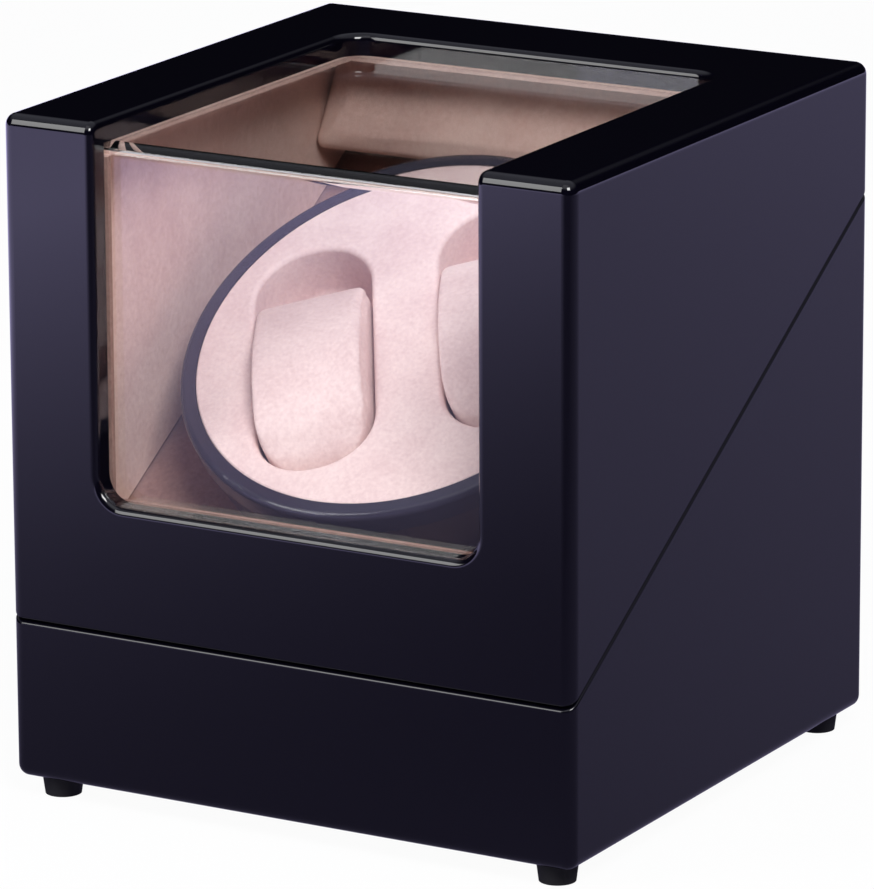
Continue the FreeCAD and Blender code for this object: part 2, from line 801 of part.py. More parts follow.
# Flocked face of the turntable, formed with two watch wells.
def well_block(name, side, grow, low, high):
    """Upright block with rounded corners, as large as a well grown by a sheet."""
    middle = f"{side} * well_offset"
    half_width = f"(well_width / 2 + {grow})"
    half_length = f"(well_length / 2 + {grow})"
    box = block(
        name + "_box",
        (f"{middle} - {half_width}", f"-{half_length}", low),
        (f"{middle} + {half_width}", half_length, high),
    )
    centre = number(middle)
    reach_x = number(half_width)
    reach_y = number(half_length)
    return rounded(
        name,
        box,
        f"well_corner + {grow}",
        lambda point: near(abs(point.x - centre), reach_x) and near(abs(point.y), reach_y),
    )


face_disc = rod("face_disc", "face_radius", "face_sheet", frame("0", "0", "-face_sheet"))
cups = []
hollows = []
for side in (-1, 1):
    cup_under = "-well_depth - well_sheet"
    cups.append(well_block(f"cup_{side + 2}", side, "well_sheet", cup_under, "-face_sheet / 2"))
    hollows.append(well_block(f"hollow_{side + 2}", side, "0", "-well_depth", "overcut"))
face_open = cut("face_open", fuse("face_full", face_disc, *cups), *hollows)
face_rounded = rounded(
    "face_rounded",
    face_open,
    "well_round",
    lambda point: near(point.z, 0) and math.hypot(point.x, point.y) < number("face_radius - running_gap"),
)
node(at(face_rounded, ROTOR_TURNED), "rotor_face")


# Watch pillows: crowned cushions that lie at the lower outer end of their wells.
PILLOW_ROUND_SHARE = 0.4
PILLOW_STATIONS = [0.0, 0.04, 0.1, 0.2, 0.35, 0.55, 0.75, 0.9, 0.97, 1.0]
PILLOW_LOW_END = 0.12
PILLOW_HIGH_END = 0.06


def pillow_section(side, along, crown, pull):
    """Closed outline across a pillow at a place along its well, kept clear of the rounded well end."""
    gap = number("soft_gap")
    corner = number("well_corner")
    centre = side * number("well_offset")
    wall = number("well_width / 2")
    past = max(0.0, -along - (number("well_length / 2") - corner))
    reach = wall - gap
    if past:
        reach = wall - corner + math.sqrt(max(0.0, (corner - gap) ** 2 - past ** 2))
    left = max(-reach, -wall + gap) + pull
    right = min(reach, -wall + gap + number("pillow_width")) - pull
    low = -number("well_depth") + gap
    curve = min(number("pillow_round"), PILLOW_ROUND_SHARE * min(right - left, crown - low))
    bend = curve * (1 - math.sqrt(0.5))
    left, right = centre + left, centre + right
    spots = [
        ((left + curve, low), (right - curve, low), (right - bend, low + bend), (right, low + curve)),
        ((right, low + curve), (right, crown - curve), (right - bend, crown - bend), (right - curve, crown)),
        ((right - curve, crown), (left + curve, crown), (left + bend, crown - bend), (left, crown - curve)),
        ((left, crown - curve), (left, low + curve), (left + bend, low + bend), (left + curve, low)),
    ]
    edges = []
    for start, end, middle, after in spots:
        corners = [FreeCAD.Vector(x, along, z) for x, z in (start, end, middle, after)]
        edges.append(Part.LineSegment(corners[0], corners[1]).toShape())
        edges.append(Part.Arc(corners[1], corners[2], corners[3]).toShape())
    return Part.Wire(edges)


def pillow_shape(side):
    """Ruled loft along a well, arched like a wrist and drawn in at the middle of its sides."""
    start = -number("well_length / 2 - soft_gap - pillow_end_gap")
    length = number("pillow_length")
    crown = number("pillow_crown")
    waist = number("pillow_waist")
    droop = number("pillow_droop")
    end_drop = number("pillow_end_drop")
    sections = []
    for share in PILLOW_STATIONS:
        arch = 1 - (2 * share - 1) ** 2
        inside = min(1.0, share / PILLOW_LOW_END, (1 - share) / PILLOW_HIGH_END)
        height = crown - droop * (1 - arch) - end_drop * (1 - inside) ** 2
        sections.append(pillow_section(side, start + share * length, height, waist * arch))
    return Part.makeLoft(sections, True, True)


for side, word in ((-1, "left"), (1, "right")):
    pillow = doc.addObject("Part::Feature", f"pillow_{word}_solid")
    pillow.Shape = pillow_shape(side)
    at(pillow, ROTOR_TURNED)
    node(pillow, f"pillow_{word}")

# Spindle with a thrust collar, carried in a flanged bush.
BUSH_TOP = "(drum_depth + collar_height + thrust_gap)"
SPINDLE_END = "(gear_top + gear_width + spindle_tail)"
THREAD_END = "(hub_top + hub_screw_reach + hub_screw_room)"
turned(
    "spindle",
    [
        ("screw_radius + fit_gap", "-hub_top - spindle_step"),
        ("screw_radius + fit_gap", f"-{THREAD_END}"),
        ("0", f"-{THREAD_END}"),
        ("0", f"-{SPINDLE_END}"),
        ("spindle_radius", f"-{SPINDLE_END}"),
        ("spindle_radius", f"-{BUSH_TOP} + thrust_gap"),
        ("collar_radius", f"-{BUSH_TOP} + thrust_gap"),
        ("collar_radius", "-drum_depth"),
        ("stub_radius", "-drum_depth"),
        ("stub_radius", "-hub_top - spindle_step"),
    ],
    ROTOR,
)
HUB_SCREW = f"{ROTOR} * " + frame("0", "0", "-hub_top")
screws("hub_screw", [HUB_SCREW], "hub_screw_reach", head="hub_radius - hub_screw_rim")
turned(
    "spindle_bush",
    [
        ("spindle_radius + running_gap", f"-{BUSH_TOP}"),
        ("bush_flange_radius", f"-{BUSH_TOP}"),
        ("bush_flange_radius", f"-{BUSH_TOP} - bush_flange"),
        ("spindle_radius + bush_wall", f"-{BUSH_TOP} - bush_flange"),
        ("spindle_radius + bush_wall", f"-{BUSH_TOP} - bush_flange - bush_length"),
        ("spindle_radius + running_gap", f"-{BUSH_TOP} - bush_flange - bush_length"),
    ],
    ROTOR,
)

# Bearing block under the deck, wedge-topped, with a boss that stands up through the deck.
BOSS_TOP = f"({BUSH_TOP} + bush_flange)"
BLOCK_FOOT = f"{ROTOR} * " + frame("0", "0", "-block_depth")
boss = rod("block_boss_rod", "block_boss", f"block_depth - {BOSS_TOP}", BLOCK_FOOT)
wedge = rod("block_wedge", "block_radius", "block_depth", BLOCK_FOOT)
over_deck = beyond_seam("over_deck", DECK_UNDER, True)
block_flange = cut("block_flange", wedge, over_deck)
bush_seat = rod(
    "bush_seat",
    "spindle_radius + bush_wall + fit_gap",
    "block_depth + 2 * overcut",
    f"{BLOCK_FOOT} * " + frame("0", "0", "-overcut"),
)
node(
    cut(
        "block_cut",
        fuse("block_full", boss, block_flange),
        bush_seat,
        screw_holes("block", BLOCK_SCREWS, BLOCK_SCREW_REACH),
    ),
    "bearing_block",
)
screws("block_screws", BLOCK_SCREWS, BLOCK_SCREW_REACH)


# Gear pair with involute flanks.
PRESSURE_ANGLE = 20
TIP_SHARE = 0.95
ROOT_SHARE = 1.25
FLANK_STEPS = 5


def involute_profile(teeth, start_turn):
    """Closed outline of a spur gear: involute flanks thinned by the backlash, straight tips and roots."""
    module = number("gear_module")
    pressure = math.radians(PRESSURE_ANGLE)
    pitch = module * teeth / 2
    ground = pitch * math.cos(pressure)
    tip = pitch + TIP_SHARE * module
    root = pitch - ROOT_SHARE * module
    half_tooth = (math.pi * module / 2 - number("backlash")) / (2 * pitch)
    spread = half_tooth + math.tan(pressure) - pressure
    flank_start = max(root, ground)
    radii = [flank_start + (tip - flank_start) * step / FLANK_STEPS for step in range(FLANK_STEPS + 1)]
    flank = []
    for radius in radii:
        unwound = math.acos(min(1.0, ground / radius))
        flank.append((radius, spread - (math.tan(unwound) - unwound)))
    if root < ground:
        flank.insert(0, (root, spread))
    points = []
    for tooth in range(teeth):
        middle = start_turn + 2 * math.pi * tooth / teeth
        points += [(radius, middle - angle) for radius, angle in flank]
        points += [(radius, middle + angle) for radius, angle in reversed(flank)]
    corners = []
    for radius, turn in points:
        corners.append(FreeCAD.Vector(radius * math.cos(turn), radius * math.sin(turn), 0))
    return Part.Face(Part.makePolygon(corners + corners[:1]))


def gear(name, teeth, start_turn, bore, place):
    """Spur gear of the sheet's width, bored for its shaft."""
    blank = involute_profile(teeth, start_turn).extrude(FreeCAD.Vector(0, 0, number("gear_width")))
    piece = doc.addObject("Part::Feature", name + "_solid")
    piece.Shape = blank.cut(Part.makeCylinder(number(bore), number("gear_width")))
    at(piece, place)
    return node(piece, name)


GEAR_BOTTOM = "(-(gear_top + gear_width))"
PINION_TEETH = int(number("pinion_teeth"))
gear(
    "spindle_gear",
    int(number("gear_teeth")),
    0.0,
    "spindle_radius + fit_gap",
    f"{ROTOR} * " + frame("0", "0", GEAR_BOTTOM),
)
half_pitch = 0.0 if PINION_TEETH % 2 else math.pi / PINION_TEETH
gear(
    "motor_pinion",
    PINION_TEETH,
    half_pitch,
    "motor_shaft_radius + fit_gap",
    f"{ROTOR} * " + frame(CENTRES, "0", GEAR_BOTTOM),
)
turned(
    "gear_clip",
    [
        ("spindle_radius + fit_gap", GEAR_BOTTOM),
        ("spindle_radius + clip_width", GEAR_BOTTOM),
        ("spindle_radius + clip_width", f"{GEAR_BOTTOM} - clip_sheet"),
        ("spindle_radius + fit_gap", f"{GEAR_BOTTOM} - clip_sheet"),
    ],
    ROTOR,
)

# Drive plate hung from the deck on four pillars; it carries the gear motor.
plate = new_body("drive_plate")
plate_profile = outline(
    plate,
    "XY_Plane",
    [
        (f"plate_shift + {sx} * plate_length / 2", f"{sy} * plate_breadth / 2")
        for sx, sy in ((-1, -1), (1, -1), (1, 1), (-1, 1))
    ],
)
plate_pad = plate.newObject("PartDesign::Pad", "plate_pad")
plate_pad.Profile = plate_profile
plate_pad.setExpression("Length", sized("plate_sheet"))


def round_pocket(body, name, x, y, radius):
    """Round hole through a flat body, its centre and size bound to the sheet."""
    sketch = body.newObject("Sketcher::SketchObject", name)
    sketch.AttachmentSupport = [(plane(body, "XY_Plane"), "")]
    sketch.MapMode = "FlatFace"
    centre = FreeCAD.Vector(number(x), number(y), 0)
    sketch.addGeometry(Part.Circle(centre, FreeCAD.Vector(0, 0, 1), number(radius)))
    for kind, axis, text in (("DistanceX", -2, x), ("DistanceY", -1, y)):
        if text == "0":
            sketch.addConstraint(Sketcher.Constraint("PointOnObject", 0, 3, axis))
            continue
        mark = sketch.addConstraint(Sketcher.Constraint(kind, -1, 1, 0, 3, number(text)))
        sketch.setExpression(f"Constraints[{mark}]", sized(text))
    mark = sketch.addConstraint(Sketcher.Constraint("Radius", 0, number(radius)))
    sketch.setExpression(f"Constraints[{mark}]", sized(radius))
    before = body.Shape.Volume
    pocket = body.newObject("PartDesign::Pocket", name + "_cut")
    pocket.Profile = sketch
    pocket.Type = "ThroughAll"
    pocket.Midplane = True
    doc.recompute()
    if body.Shape.Volume >= before:
        raise ValueError(f"{name}: pocket cut nothing")


doc.recompute()
MOTOR_BOSS = "(motor_shaft_radius + motor_boss_wall)"
round_pocket(plate, "motor_hole", CENTRES, "0", f"{MOTOR_BOSS} + fit_gap")
for hand in (-1, 1):
    round_pocket(
        plate,
        f"motor_screw_hole_{hand + 2}",
        f"{CENTRES} + {hand} * motor_screw_offset",
        "0",
        "screw_radius + fit_gap",
    )
for index, (x, y) in enumerate(PILLAR_SPOTS, 1):
    round_pocket(plate, f"pillar_hole_{index}", x, y, "screw_radius + fit_gap")
at(plate, f"{ROTOR} * " + frame("0", "0", f"-{PLATE_UNDER}"))
pillars = []
for index, (x, y) in enumerate(PILLAR_SPOTS, 1):
    foot_place = f"{ROTOR} * " + frame(x, y, "-plate_depth")
    post = rod(f"pillar_rod_{index}", "pillar_radius", "plate_depth", foot_place)
    trimmed = cut(f"pillar_trim_{index}", post, over_deck)
    hole = screw_holes(f"pillar_{index}", [PLATE_SCREWS[index - 1]], PLATE_SCREW_REACH)
    pillars.append(cut(f"pillar_{index}", trimmed, hole))
pillar_group = doc.addObject("Part::Compound", "pillar_group")
pillar_group.Links = pillars
node(pillar_group, "plate_pillars")
screws("plate_screws", PLATE_SCREWS, PLATE_SCREW_REACH)

# Gear motor: can with a location boss, turning a shaft that carries the pinion.
MOTOR_AXIS = f"{ROTOR} * " + frame(CENTRES, "0", f"-{PLATE_UNDER}")
CAN_END = f"{MOTOR_AXIS} * " + frame("0", "0", "-motor_length")
TAIL_END = f"{MOTOR_AXIS} * " + frame("0", "0", "-motor_length - motor_tail_length")
can = rod("motor_can", "motor_radius", "motor_length", CAN_END)
can_boss = rod("motor_boss", MOTOR_BOSS, "plate_sheet", MOTOR_AXIS)
motor_tail = rod("motor_tail", "motor_radius / 3", "motor_tail_length", TAIL_END)
shaft_hole = rod(
    "motor_shaft_hole",
    "motor_shaft_radius + running_gap",
    "motor_shaft_depth + plate_sheet + overcut",
    f"{MOTOR_AXIS} * " + frame("0", "0", "-motor_shaft_depth - running_gap"),
)
node(
    cut(
        "motor_cut",
        fuse("motor_full", can, can_boss, motor_tail),
        shaft_hole,
        screw_holes("motor", MOTOR_SCREWS, MOTOR_SCREW_REACH),
    ),
    "gear_motor",
)
screws("motor_screws", MOTOR_SCREWS, MOTOR_SCREW_REACH)
node(
    rod(
        "motor_shaft_rod",
        "motor_shaft_radius",
        f"motor_shaft_depth + {PLATE_UNDER} - gear_top + motor_shaft_tail",
        f"{MOTOR_AXIS} * " + frame("0", "0", "-motor_shaft_depth"),
    ),
    "motor_shaft",
)

# Surface hinges on the back: leaves, knuckles and pins.
LEAF_EDGE = "(knuckle_radius + leaf_clear)"


def along_x(x, y, z):
    """Frame at a point with its Z axis along +X."""
    return frame(x, y, z, "0; 1; 0", "90")


def hinge_leaves(name, side, knuckles):
    """Both hinges' leaves on one side of the seam, each with its knuckles on the hinge line."""
    leaves = []
    for index, centre in enumerate(HINGE_CENTRES, 1):
        near_edge = f"{HINGE_Z} + {side} * {LEAF_EDGE}"
        far_edge = f"{HINGE_Z} + {side} * hinge_leaf"
        edges = sorted((near_edge, far_edge), key=number)
        pieces = [
            block(
                f"{name}_sheet_{index}",
                (f"{centre} - hinge_length / 2", BACK, edges[0]),
                (f"{centre} + hinge_length / 2", f"{BACK} + hinge_sheet", edges[1]),
            )
        ]
        bores = []
        for part, (start, end) in enumerate(knuckles, 1):
            label = f"{name}_{index}_{part}"
            webs = sorted((HINGE_Z, f"{HINGE_Z} + {side} * ({LEAF_EDGE} + web_lap)"), key=number)
            pieces.append(
                block(
                    f"{label}_web",
                    (f"{centre} + {start}", BACK, webs[0]),
                    (f"{centre} + {end}", f"{BACK} + hinge_sheet", webs[1]),
                )
            )
            place = along_x(f"{centre} + {start}", HINGE_Y, HINGE_Z)
            pieces.append(rod(f"{label}_barrel", "knuckle_radius", f"({end}) - ({start})", place))
            bores.append(rod(f"{label}_bore", "pin_radius + running_gap", f"({end}) - ({start})", place))
        leaves.append(cut(f"{name}_leaf_{index}", fuse(f"{name}_full_{index}", *pieces), *bores))
    whole = doc.addObject("Part::Compound", name + "_pair")
    whole.Links = leaves
    holes = screw_holes(name, LEAF_SCREWS[side], LEAF_SCREW_REACH)
    return node(cut(name + "_cut", whole, holes), name)


OUTER = "(hinge_length / 2)"
MIDDLE = "(knuckle_middle / 2)"
hinge_leaves(
    "hinge_base_leaves",
    -1,
    [(f"-{OUTER}", f"-{MIDDLE} - knuckle_space"), (f"{MIDDLE} + knuckle_space", OUTER)],
)
hinge_leaves("hinge_lid_leaves", 1, [(f"-{MIDDLE}", MIDDLE)])
pins = [
    rod(f"pin_{index}", "pin_radius", "hinge_length", along_x(f"{centre} - {OUTER}", HINGE_Y, HINGE_Z))
    for index, centre in enumerate(HINGE_CENTRES, 1)
]
pin_group = doc.addObject("Part::Compound", "pin_group")
pin_group.Links = pins
node(pin_group, "hinge_pins")
screws("hinge_base_screws", LEAF_SCREWS[-1], LEAF_SCREW_REACH, head="screw_head - leaf_head_cut")
screws("hinge_lid_screws", LEAF_SCREWS[1], LEAF_SCREW_REACH, head="screw_head - leaf_head_cut")

# Control panel on the back wall with a mode switch, a power button and a low-voltage inlet.
panel = block(
    "panel_blank",
    ("-panel_width / 2", BACK, f"{PANEL_Z} - panel_height / 2"),
    ("panel_width / 2", f"{BACK} + panel_sheet", f"{PANEL_Z} + panel_height / 2"),
)
panel_soft = rounded(
    "panel_soft",
    panel,
    "panel_sheet * 2",
    lambda point: near(abs(point.x), number("panel_width / 2"))
    and near(abs(point.z - number(PANEL_Z)), number("panel_height / 2")),
)
KNOB_X = "switch_pitch"
JACK_X = "-switch_pitch"
PANEL_CUT = "panel_sheet + 2 * overcut"
PANEL_CUT_Y = f"{BACK} - overcut"
button_opening = block(
    "button_opening",
    ("-button_width / 2 - button_room", PANEL_CUT_Y, f"{PANEL_Z} - button_height / 2 - button_room"),
    (
        "button_width / 2 + button_room",
        f"{BACK} + panel_sheet + overcut",
        f"{PANEL_Z} + button_height / 2 + button_room",
    ),
)
node(
    cut(
        "panel_cut",
        panel_soft,
        button_opening,
        rod("neck_hole", "switch_neck + fit_gap", PANEL_CUT, facing_back(KNOB_X, PANEL_CUT_Y, PANEL_Z)),
        rod("jack_hole", "jack_radius + fit_gap", PANEL_CUT, facing_back(JACK_X, PANEL_CUT_Y, PANEL_Z)),
        screw_holes("panel", PANEL_SCREWS, PANEL_SCREW_REACH),
    ),
    "control_panel",
)
screws("panel_screws", PANEL_SCREWS, PANEL_SCREW_REACH)


def switch_box(name, x):
    """Square component body behind the panel."""
    return block(
        name,
        (f"{x} - switch_side / 2", f"{BACK} - switch_depth", f"{PANEL_Z} - switch_side / 2"),
        (f"{x} + switch_side / 2", BACK, f"{PANEL_Z} + switch_side / 2"),
    )


node(
    cut(
        "mode_switch_cut",
        fuse(
            "mode_switch_full",
            switch_box("mode_switch_box", KNOB_X),
            rod("switch_neck_rod", "switch_neck", "panel_sheet", facing_back(KNOB_X, BACK, PANEL_Z)),
        ),
        rod(
            "stem_hole",
            "knob_stem + running_gap",
            "switch_depth",
            facing_back(KNOB_X, f"{BACK} - switch_depth + stem_stop", PANEL_Z),
        ),
    ),
    "mode_switch",
)
KNOB_FACE = "(panel_sheet + knob_gap)"
STEM_END = "(switch_depth - stem_stop - stem_play)"
KNOB_SEAT = facing_back(KNOB_X, f"{BACK} + {KNOB_FACE}", PANEL_Z)
KNOB_TOP = f"({BACK} + {KNOB_FACE} + knob_height)"
node(
    cut(
        "knob_cut",
        fuse(
            "knob_full",
            rod("knob_disc", "knob_radius", "knob_height", KNOB_SEAT),
            rod(
                "knob_stem_rod",
                "knob_stem",
                f"{STEM_END} + {KNOB_FACE}",
                facing_back(KNOB_X, f"{BACK} - {STEM_END}", PANEL_Z),
            ),
        ),
        block(
            "knob_mark",
            (f"{KNOB_X} - mark_half", f"{KNOB_TOP} - mark_depth", f"{PANEL_Z} + mark_start"),
            (f"{KNOB_X} + mark_half", f"{KNOB_TOP} + overcut", f"{PANEL_Z} + knob_radius + overcut"),
        ),
    ),
    "mode_knob",
)
BUTTON_IN = "(button_travel + button_root)"
BUTTON_FACE = f"({BACK} + panel_sheet + button_travel + button_proud)"
button_pocket = block(
    "button_pocket",
    (
        "-button_width / 2 - button_guide_gap",
        f"{BACK} - {BUTTON_IN} - button_travel",
        f"{PANEL_Z} - button_height / 2 - button_guide_gap",
    ),
    (
        "button_width / 2 + button_guide_gap",
        f"{BACK} + overcut",
        f"{PANEL_Z} + button_height / 2 + button_guide_gap",
    ),
)
node(cut("power_switch_cut", switch_box("power_switch_box", "0"), button_pocket), "power_switch")
button_blank = block(
    "button_blank",
    ("-button_width / 2", f"{BACK} - {BUTTON_IN}", f"{PANEL_Z} - button_height / 2"),
    ("button_width / 2", BUTTON_FACE, f"{PANEL_Z} + button_height / 2"),
)
node(
    rounded(
        "button_soft",
        button_blank,
        "button_edge",
        lambda point: near(point.y, number(BUTTON_FACE)),
    ),
    "power_button",
)
JACK_END = facing_back(JACK_X, f"{BACK} - switch_depth + jack_end", PANEL_Z)
node(
    cut(
        "jack_cut",
        fuse(
            "jack_full",
            switch_box("jack_box", JACK_X),
            rod("jack_barrel", "jack_radius", "panel_sheet + jack_rim", facing_back(JACK_X, BACK, PANEL_Z)),
        ),
        cut(
            "jack_socket",
            rod("jack_bore_rod", "jack_bore", "switch_depth + panel_sheet + jack_rim", JACK_END),
            rod("jack_pin_rod", "jack_pin", "switch_depth - jack_end", JACK_END),
        ),
    ),
    "power_inlet",
)
BOARD_Y = f"({BACK} - switch_depth)"
BOARD_HALF = "(panel_opening_width / 2 - board_gap)"
BOARD_RISE = "(panel_opening_height / 2 - board_gap)"
node(
    block(
        "board_blank",
        (f"-{BOARD_HALF}", f"{BOARD_Y} - board_sheet", f"{PANEL_Z} - {BOARD_RISE}"),
        (BOARD_HALF, BOARD_Y, f"{PANEL_Z} + {BOARD_RISE}"),
    ),
    "control_board",
)


# Lead from the control board to the motor's tail, straight runs joined by arcs.
BEND_SHARE = 0.45
PIPE_SLACK = 0.01


def bent_tube(points, radius):
    """Round tube along points, each bend as large as its two runs allow."""
    edges = []
    start = points[0]
    for before, corner, after in zip(points, points[1:], points[2:]):
        arm_in = (before - corner).normalize()
        arm_out = (after - corner).normalize()
        reach = BEND_SHARE * min(corner.distanceToPoint(before), corner.distanceToPoint(after))
        half_turn = (math.pi - arm_in.getAngle(arm_out)) / 2
        bend = reach / math.tan(half_turn)
        first = corner + arm_in * reach
        last = corner + arm_out * reach
        inward = (arm_in + arm_out).normalize()
        middle = corner + inward * (bend / math.cos(half_turn) - bend)
        edges.append(Part.LineSegment(start, first).toShape())
        edges.append(Part.Arc(first, middle, last).toShape())
        start = last
    edges.append(Part.LineSegment(start, points[-1]).toShape())
    path = Part.Wire(edges)
    direction = points[1] - points[0]
    ring = Part.Wire(Part.Circle(points[0], direction, radius).toShape())
    tube = path.makePipeShell([ring], True, True)
    expected = math.pi * radius ** 2 * path.Length
    if not near(tube.Volume, expected, PIPE_SLACK * expected):
        raise ValueError("lead: the tube's volume is not its section times its length")
    return tube


doc.recompute()
motor_place = doc.getObject("motor_tail").Placement
tail = motor_place.multVec(FreeCAD.Vector(0, 0, 0))
down = motor_place.Rotation.multVec(FreeCAD.Vector(0, 0, -1))
board = FreeCAD.Vector(number(f"{KNOB_X} / 2"), number(f"{BOARD_Y} - board_sheet"), number(PANEL_Z))
run = number("lead_run")
route = [
    tail,
    tail + down * run,
    FreeCAD.Vector((tail.x + board.x) / 2, (tail.y + board.y + run) / 2, board.z - run),
    board - FreeCAD.Vector(0, run, 0),
    board,
]
lead = doc.addObject("Part::Feature", "motor_lead_solid")
lead.Shape = bent_tube(route, number("wire_radius"))
node(lead, "motor_lead")

# Checks, then one file for each piece.
doc.recompute()
for item in doc.Objects:
    if "Invalid" in item.State or "Error" in item.State:
        raise RuntimeError(f"{item.Name}: {item.State} {item.getStatusString()}")
for item in NODES:
    if item.Shape.isNull() or not item.Shape.isValid() or not item.Shape.Solids:
        raise RuntimeError(f"{item.Label}: no valid solid")
os.makedirs("parts", exist_ok=True)
for item in NODES:
    item.Shape.exportStep(f"parts/{item.Label}.step")
print(len(NODES), "pieces")
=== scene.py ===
import math

import bmesh
import bpy
from bpy.props import FloatProperty, FloatVectorProperty, PointerProperty
from mathutils import Matrix, Vector


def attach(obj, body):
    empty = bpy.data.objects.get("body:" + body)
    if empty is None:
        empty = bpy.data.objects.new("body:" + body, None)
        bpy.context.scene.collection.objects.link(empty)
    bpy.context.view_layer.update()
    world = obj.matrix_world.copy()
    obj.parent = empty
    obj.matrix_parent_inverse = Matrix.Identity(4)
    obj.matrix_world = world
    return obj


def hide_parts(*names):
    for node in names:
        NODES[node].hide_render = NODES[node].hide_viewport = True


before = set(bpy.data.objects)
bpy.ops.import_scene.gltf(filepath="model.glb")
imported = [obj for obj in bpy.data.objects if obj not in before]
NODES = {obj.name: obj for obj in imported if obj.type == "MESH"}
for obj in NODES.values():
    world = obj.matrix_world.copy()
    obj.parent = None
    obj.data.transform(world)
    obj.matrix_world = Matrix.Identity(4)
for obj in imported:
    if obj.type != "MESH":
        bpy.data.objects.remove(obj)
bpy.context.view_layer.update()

bl_info = {
    "name": "Watch Winder Box",
    "version": (1, 0, 0),
    "blender": (4, 5, 0),
    "location": "View3D > Sidebar > Winder",
    "description": "Finishes a lacquered watch winder box around its fixed frame",
    "category": "Object",
}

MM = 0.001

# Steps in the mesh code: round a quarter turn, round the face, along a pillow and across the back panel,
# and round the corners of a well, a pillow and the panel.
QUARTER_STEPS = 6
FACE_STEPS = 128
CUFF_STEPS = 64
PANEL_STEPS = 48
WELL_CORNER_STEPS = 10
CUFF_CORNER_STEPS = 6
PANEL_CORNER_STEPS = 8

# Corner radii of the back panel at its back and at its upper edge.
PANEL_BACK_CORNER = 0.5 * MM
PANEL_HEAD_CORNER = 1.5 * MM

# Cloth over foam: kilograms a point, push of the filling and how many frames it swells.
CLOTH_MASS = 0.002
CLOTH_PRESSURE = 4
CLOTH_FRAMES = 20

# Softboxes: name, place and aim in metres, width, height and watts.
SOFTBOXES = (
    ("key_softbox", (1.05, -1.1, 1.55), (0, 0, 0.12), 0.8, 0.8, 36),
    ("fill_softbox", (-0.95, -1.4, 1.08), (0, -0.02, 0.12), 0.7, 1.2, 14.5),
    ("top_softbox", (0.1, -0.9, 1.8), (0, 0, 0.1), 1.2, 1.2, 2.5),
)

# Painted pools of light on the floor that only gloss sees, a painted reflection for the lacquer and glass:
# direction, metres to their start, power and gain.
FLOOR_PAINTED_LIGHT_POOLS = (((-1.0, -0.3, 0.0), 0.0, 2.0, 4.3), ((0.3, 0.95, 0.0), 0.35, 1.0, 0.35))

# Floor: glow to gloss beside the box, kept low there as painted shade, and at most, share of plain white to
# the eye, half its side in metres.
FLOOR_PAINTED_SHADE_NEAR = 0.14
FLOOR_PAINTED_GLOW_CAP = 2.2
FLOOR_WHITE = 0.96
FLOOR_HALF = 6.0

# Camera of the photograph: place in metres, azimuth, elevation and roll in degrees, lens and sensor in mm.
CAMERA_SPOT = (0.9464, -1.6567, 0.6118)
CAMERA_ANGLES = (29.835, 15.202, -0.269)
CAMERA_LENS = 281.2
CAMERA_SENSOR = 36

STEEL_PIECES = (
    *("foot_screws", "block_screws", "plate_screws", "motor_screws", "panel_screws", "hub_screw"),
    *("hinge_pins", "hinge_base_screws", "hinge_lid_screws", "spindle", "gear_clip", "motor_shaft"),
    *("plate_pillars", "drive_plate", "gear_motor"),
)


def linear(code):
    """Linear colour with full alpha from an sRGB hex value."""
    channels = [int(code[place : place + 2], 16) / 255 for place in (1, 3, 5)]
    curve = [c / 12.92 if c <= 0.04045 else ((c + 0.055) / 1.055) ** 2.4 for c in channels]
    return (*curve, 1.0)


def per_mm(size):
    """Pattern repeats in a metre for a real size in millimetres."""
    return 1 / (size * MM)


def length(name, text, size):
    """Size property in metres from a size in millimetres."""
    return FloatProperty(name=name, description=text, default=size * MM, unit="LENGTH", subtype="DISTANCE")


def angle(name, text, degrees):
    """Angle property from degrees."""
    return FloatProperty(name=name, description=text, default=math.radians(degrees), subtype="ANGLE")


def colour(name, text, code):
    """Colour property from an sRGB hex value."""
    return FloatVectorProperty(
        name=name, description=text, default=linear(code), size=4, min=0, max=1, subtype="COLOR"
    )


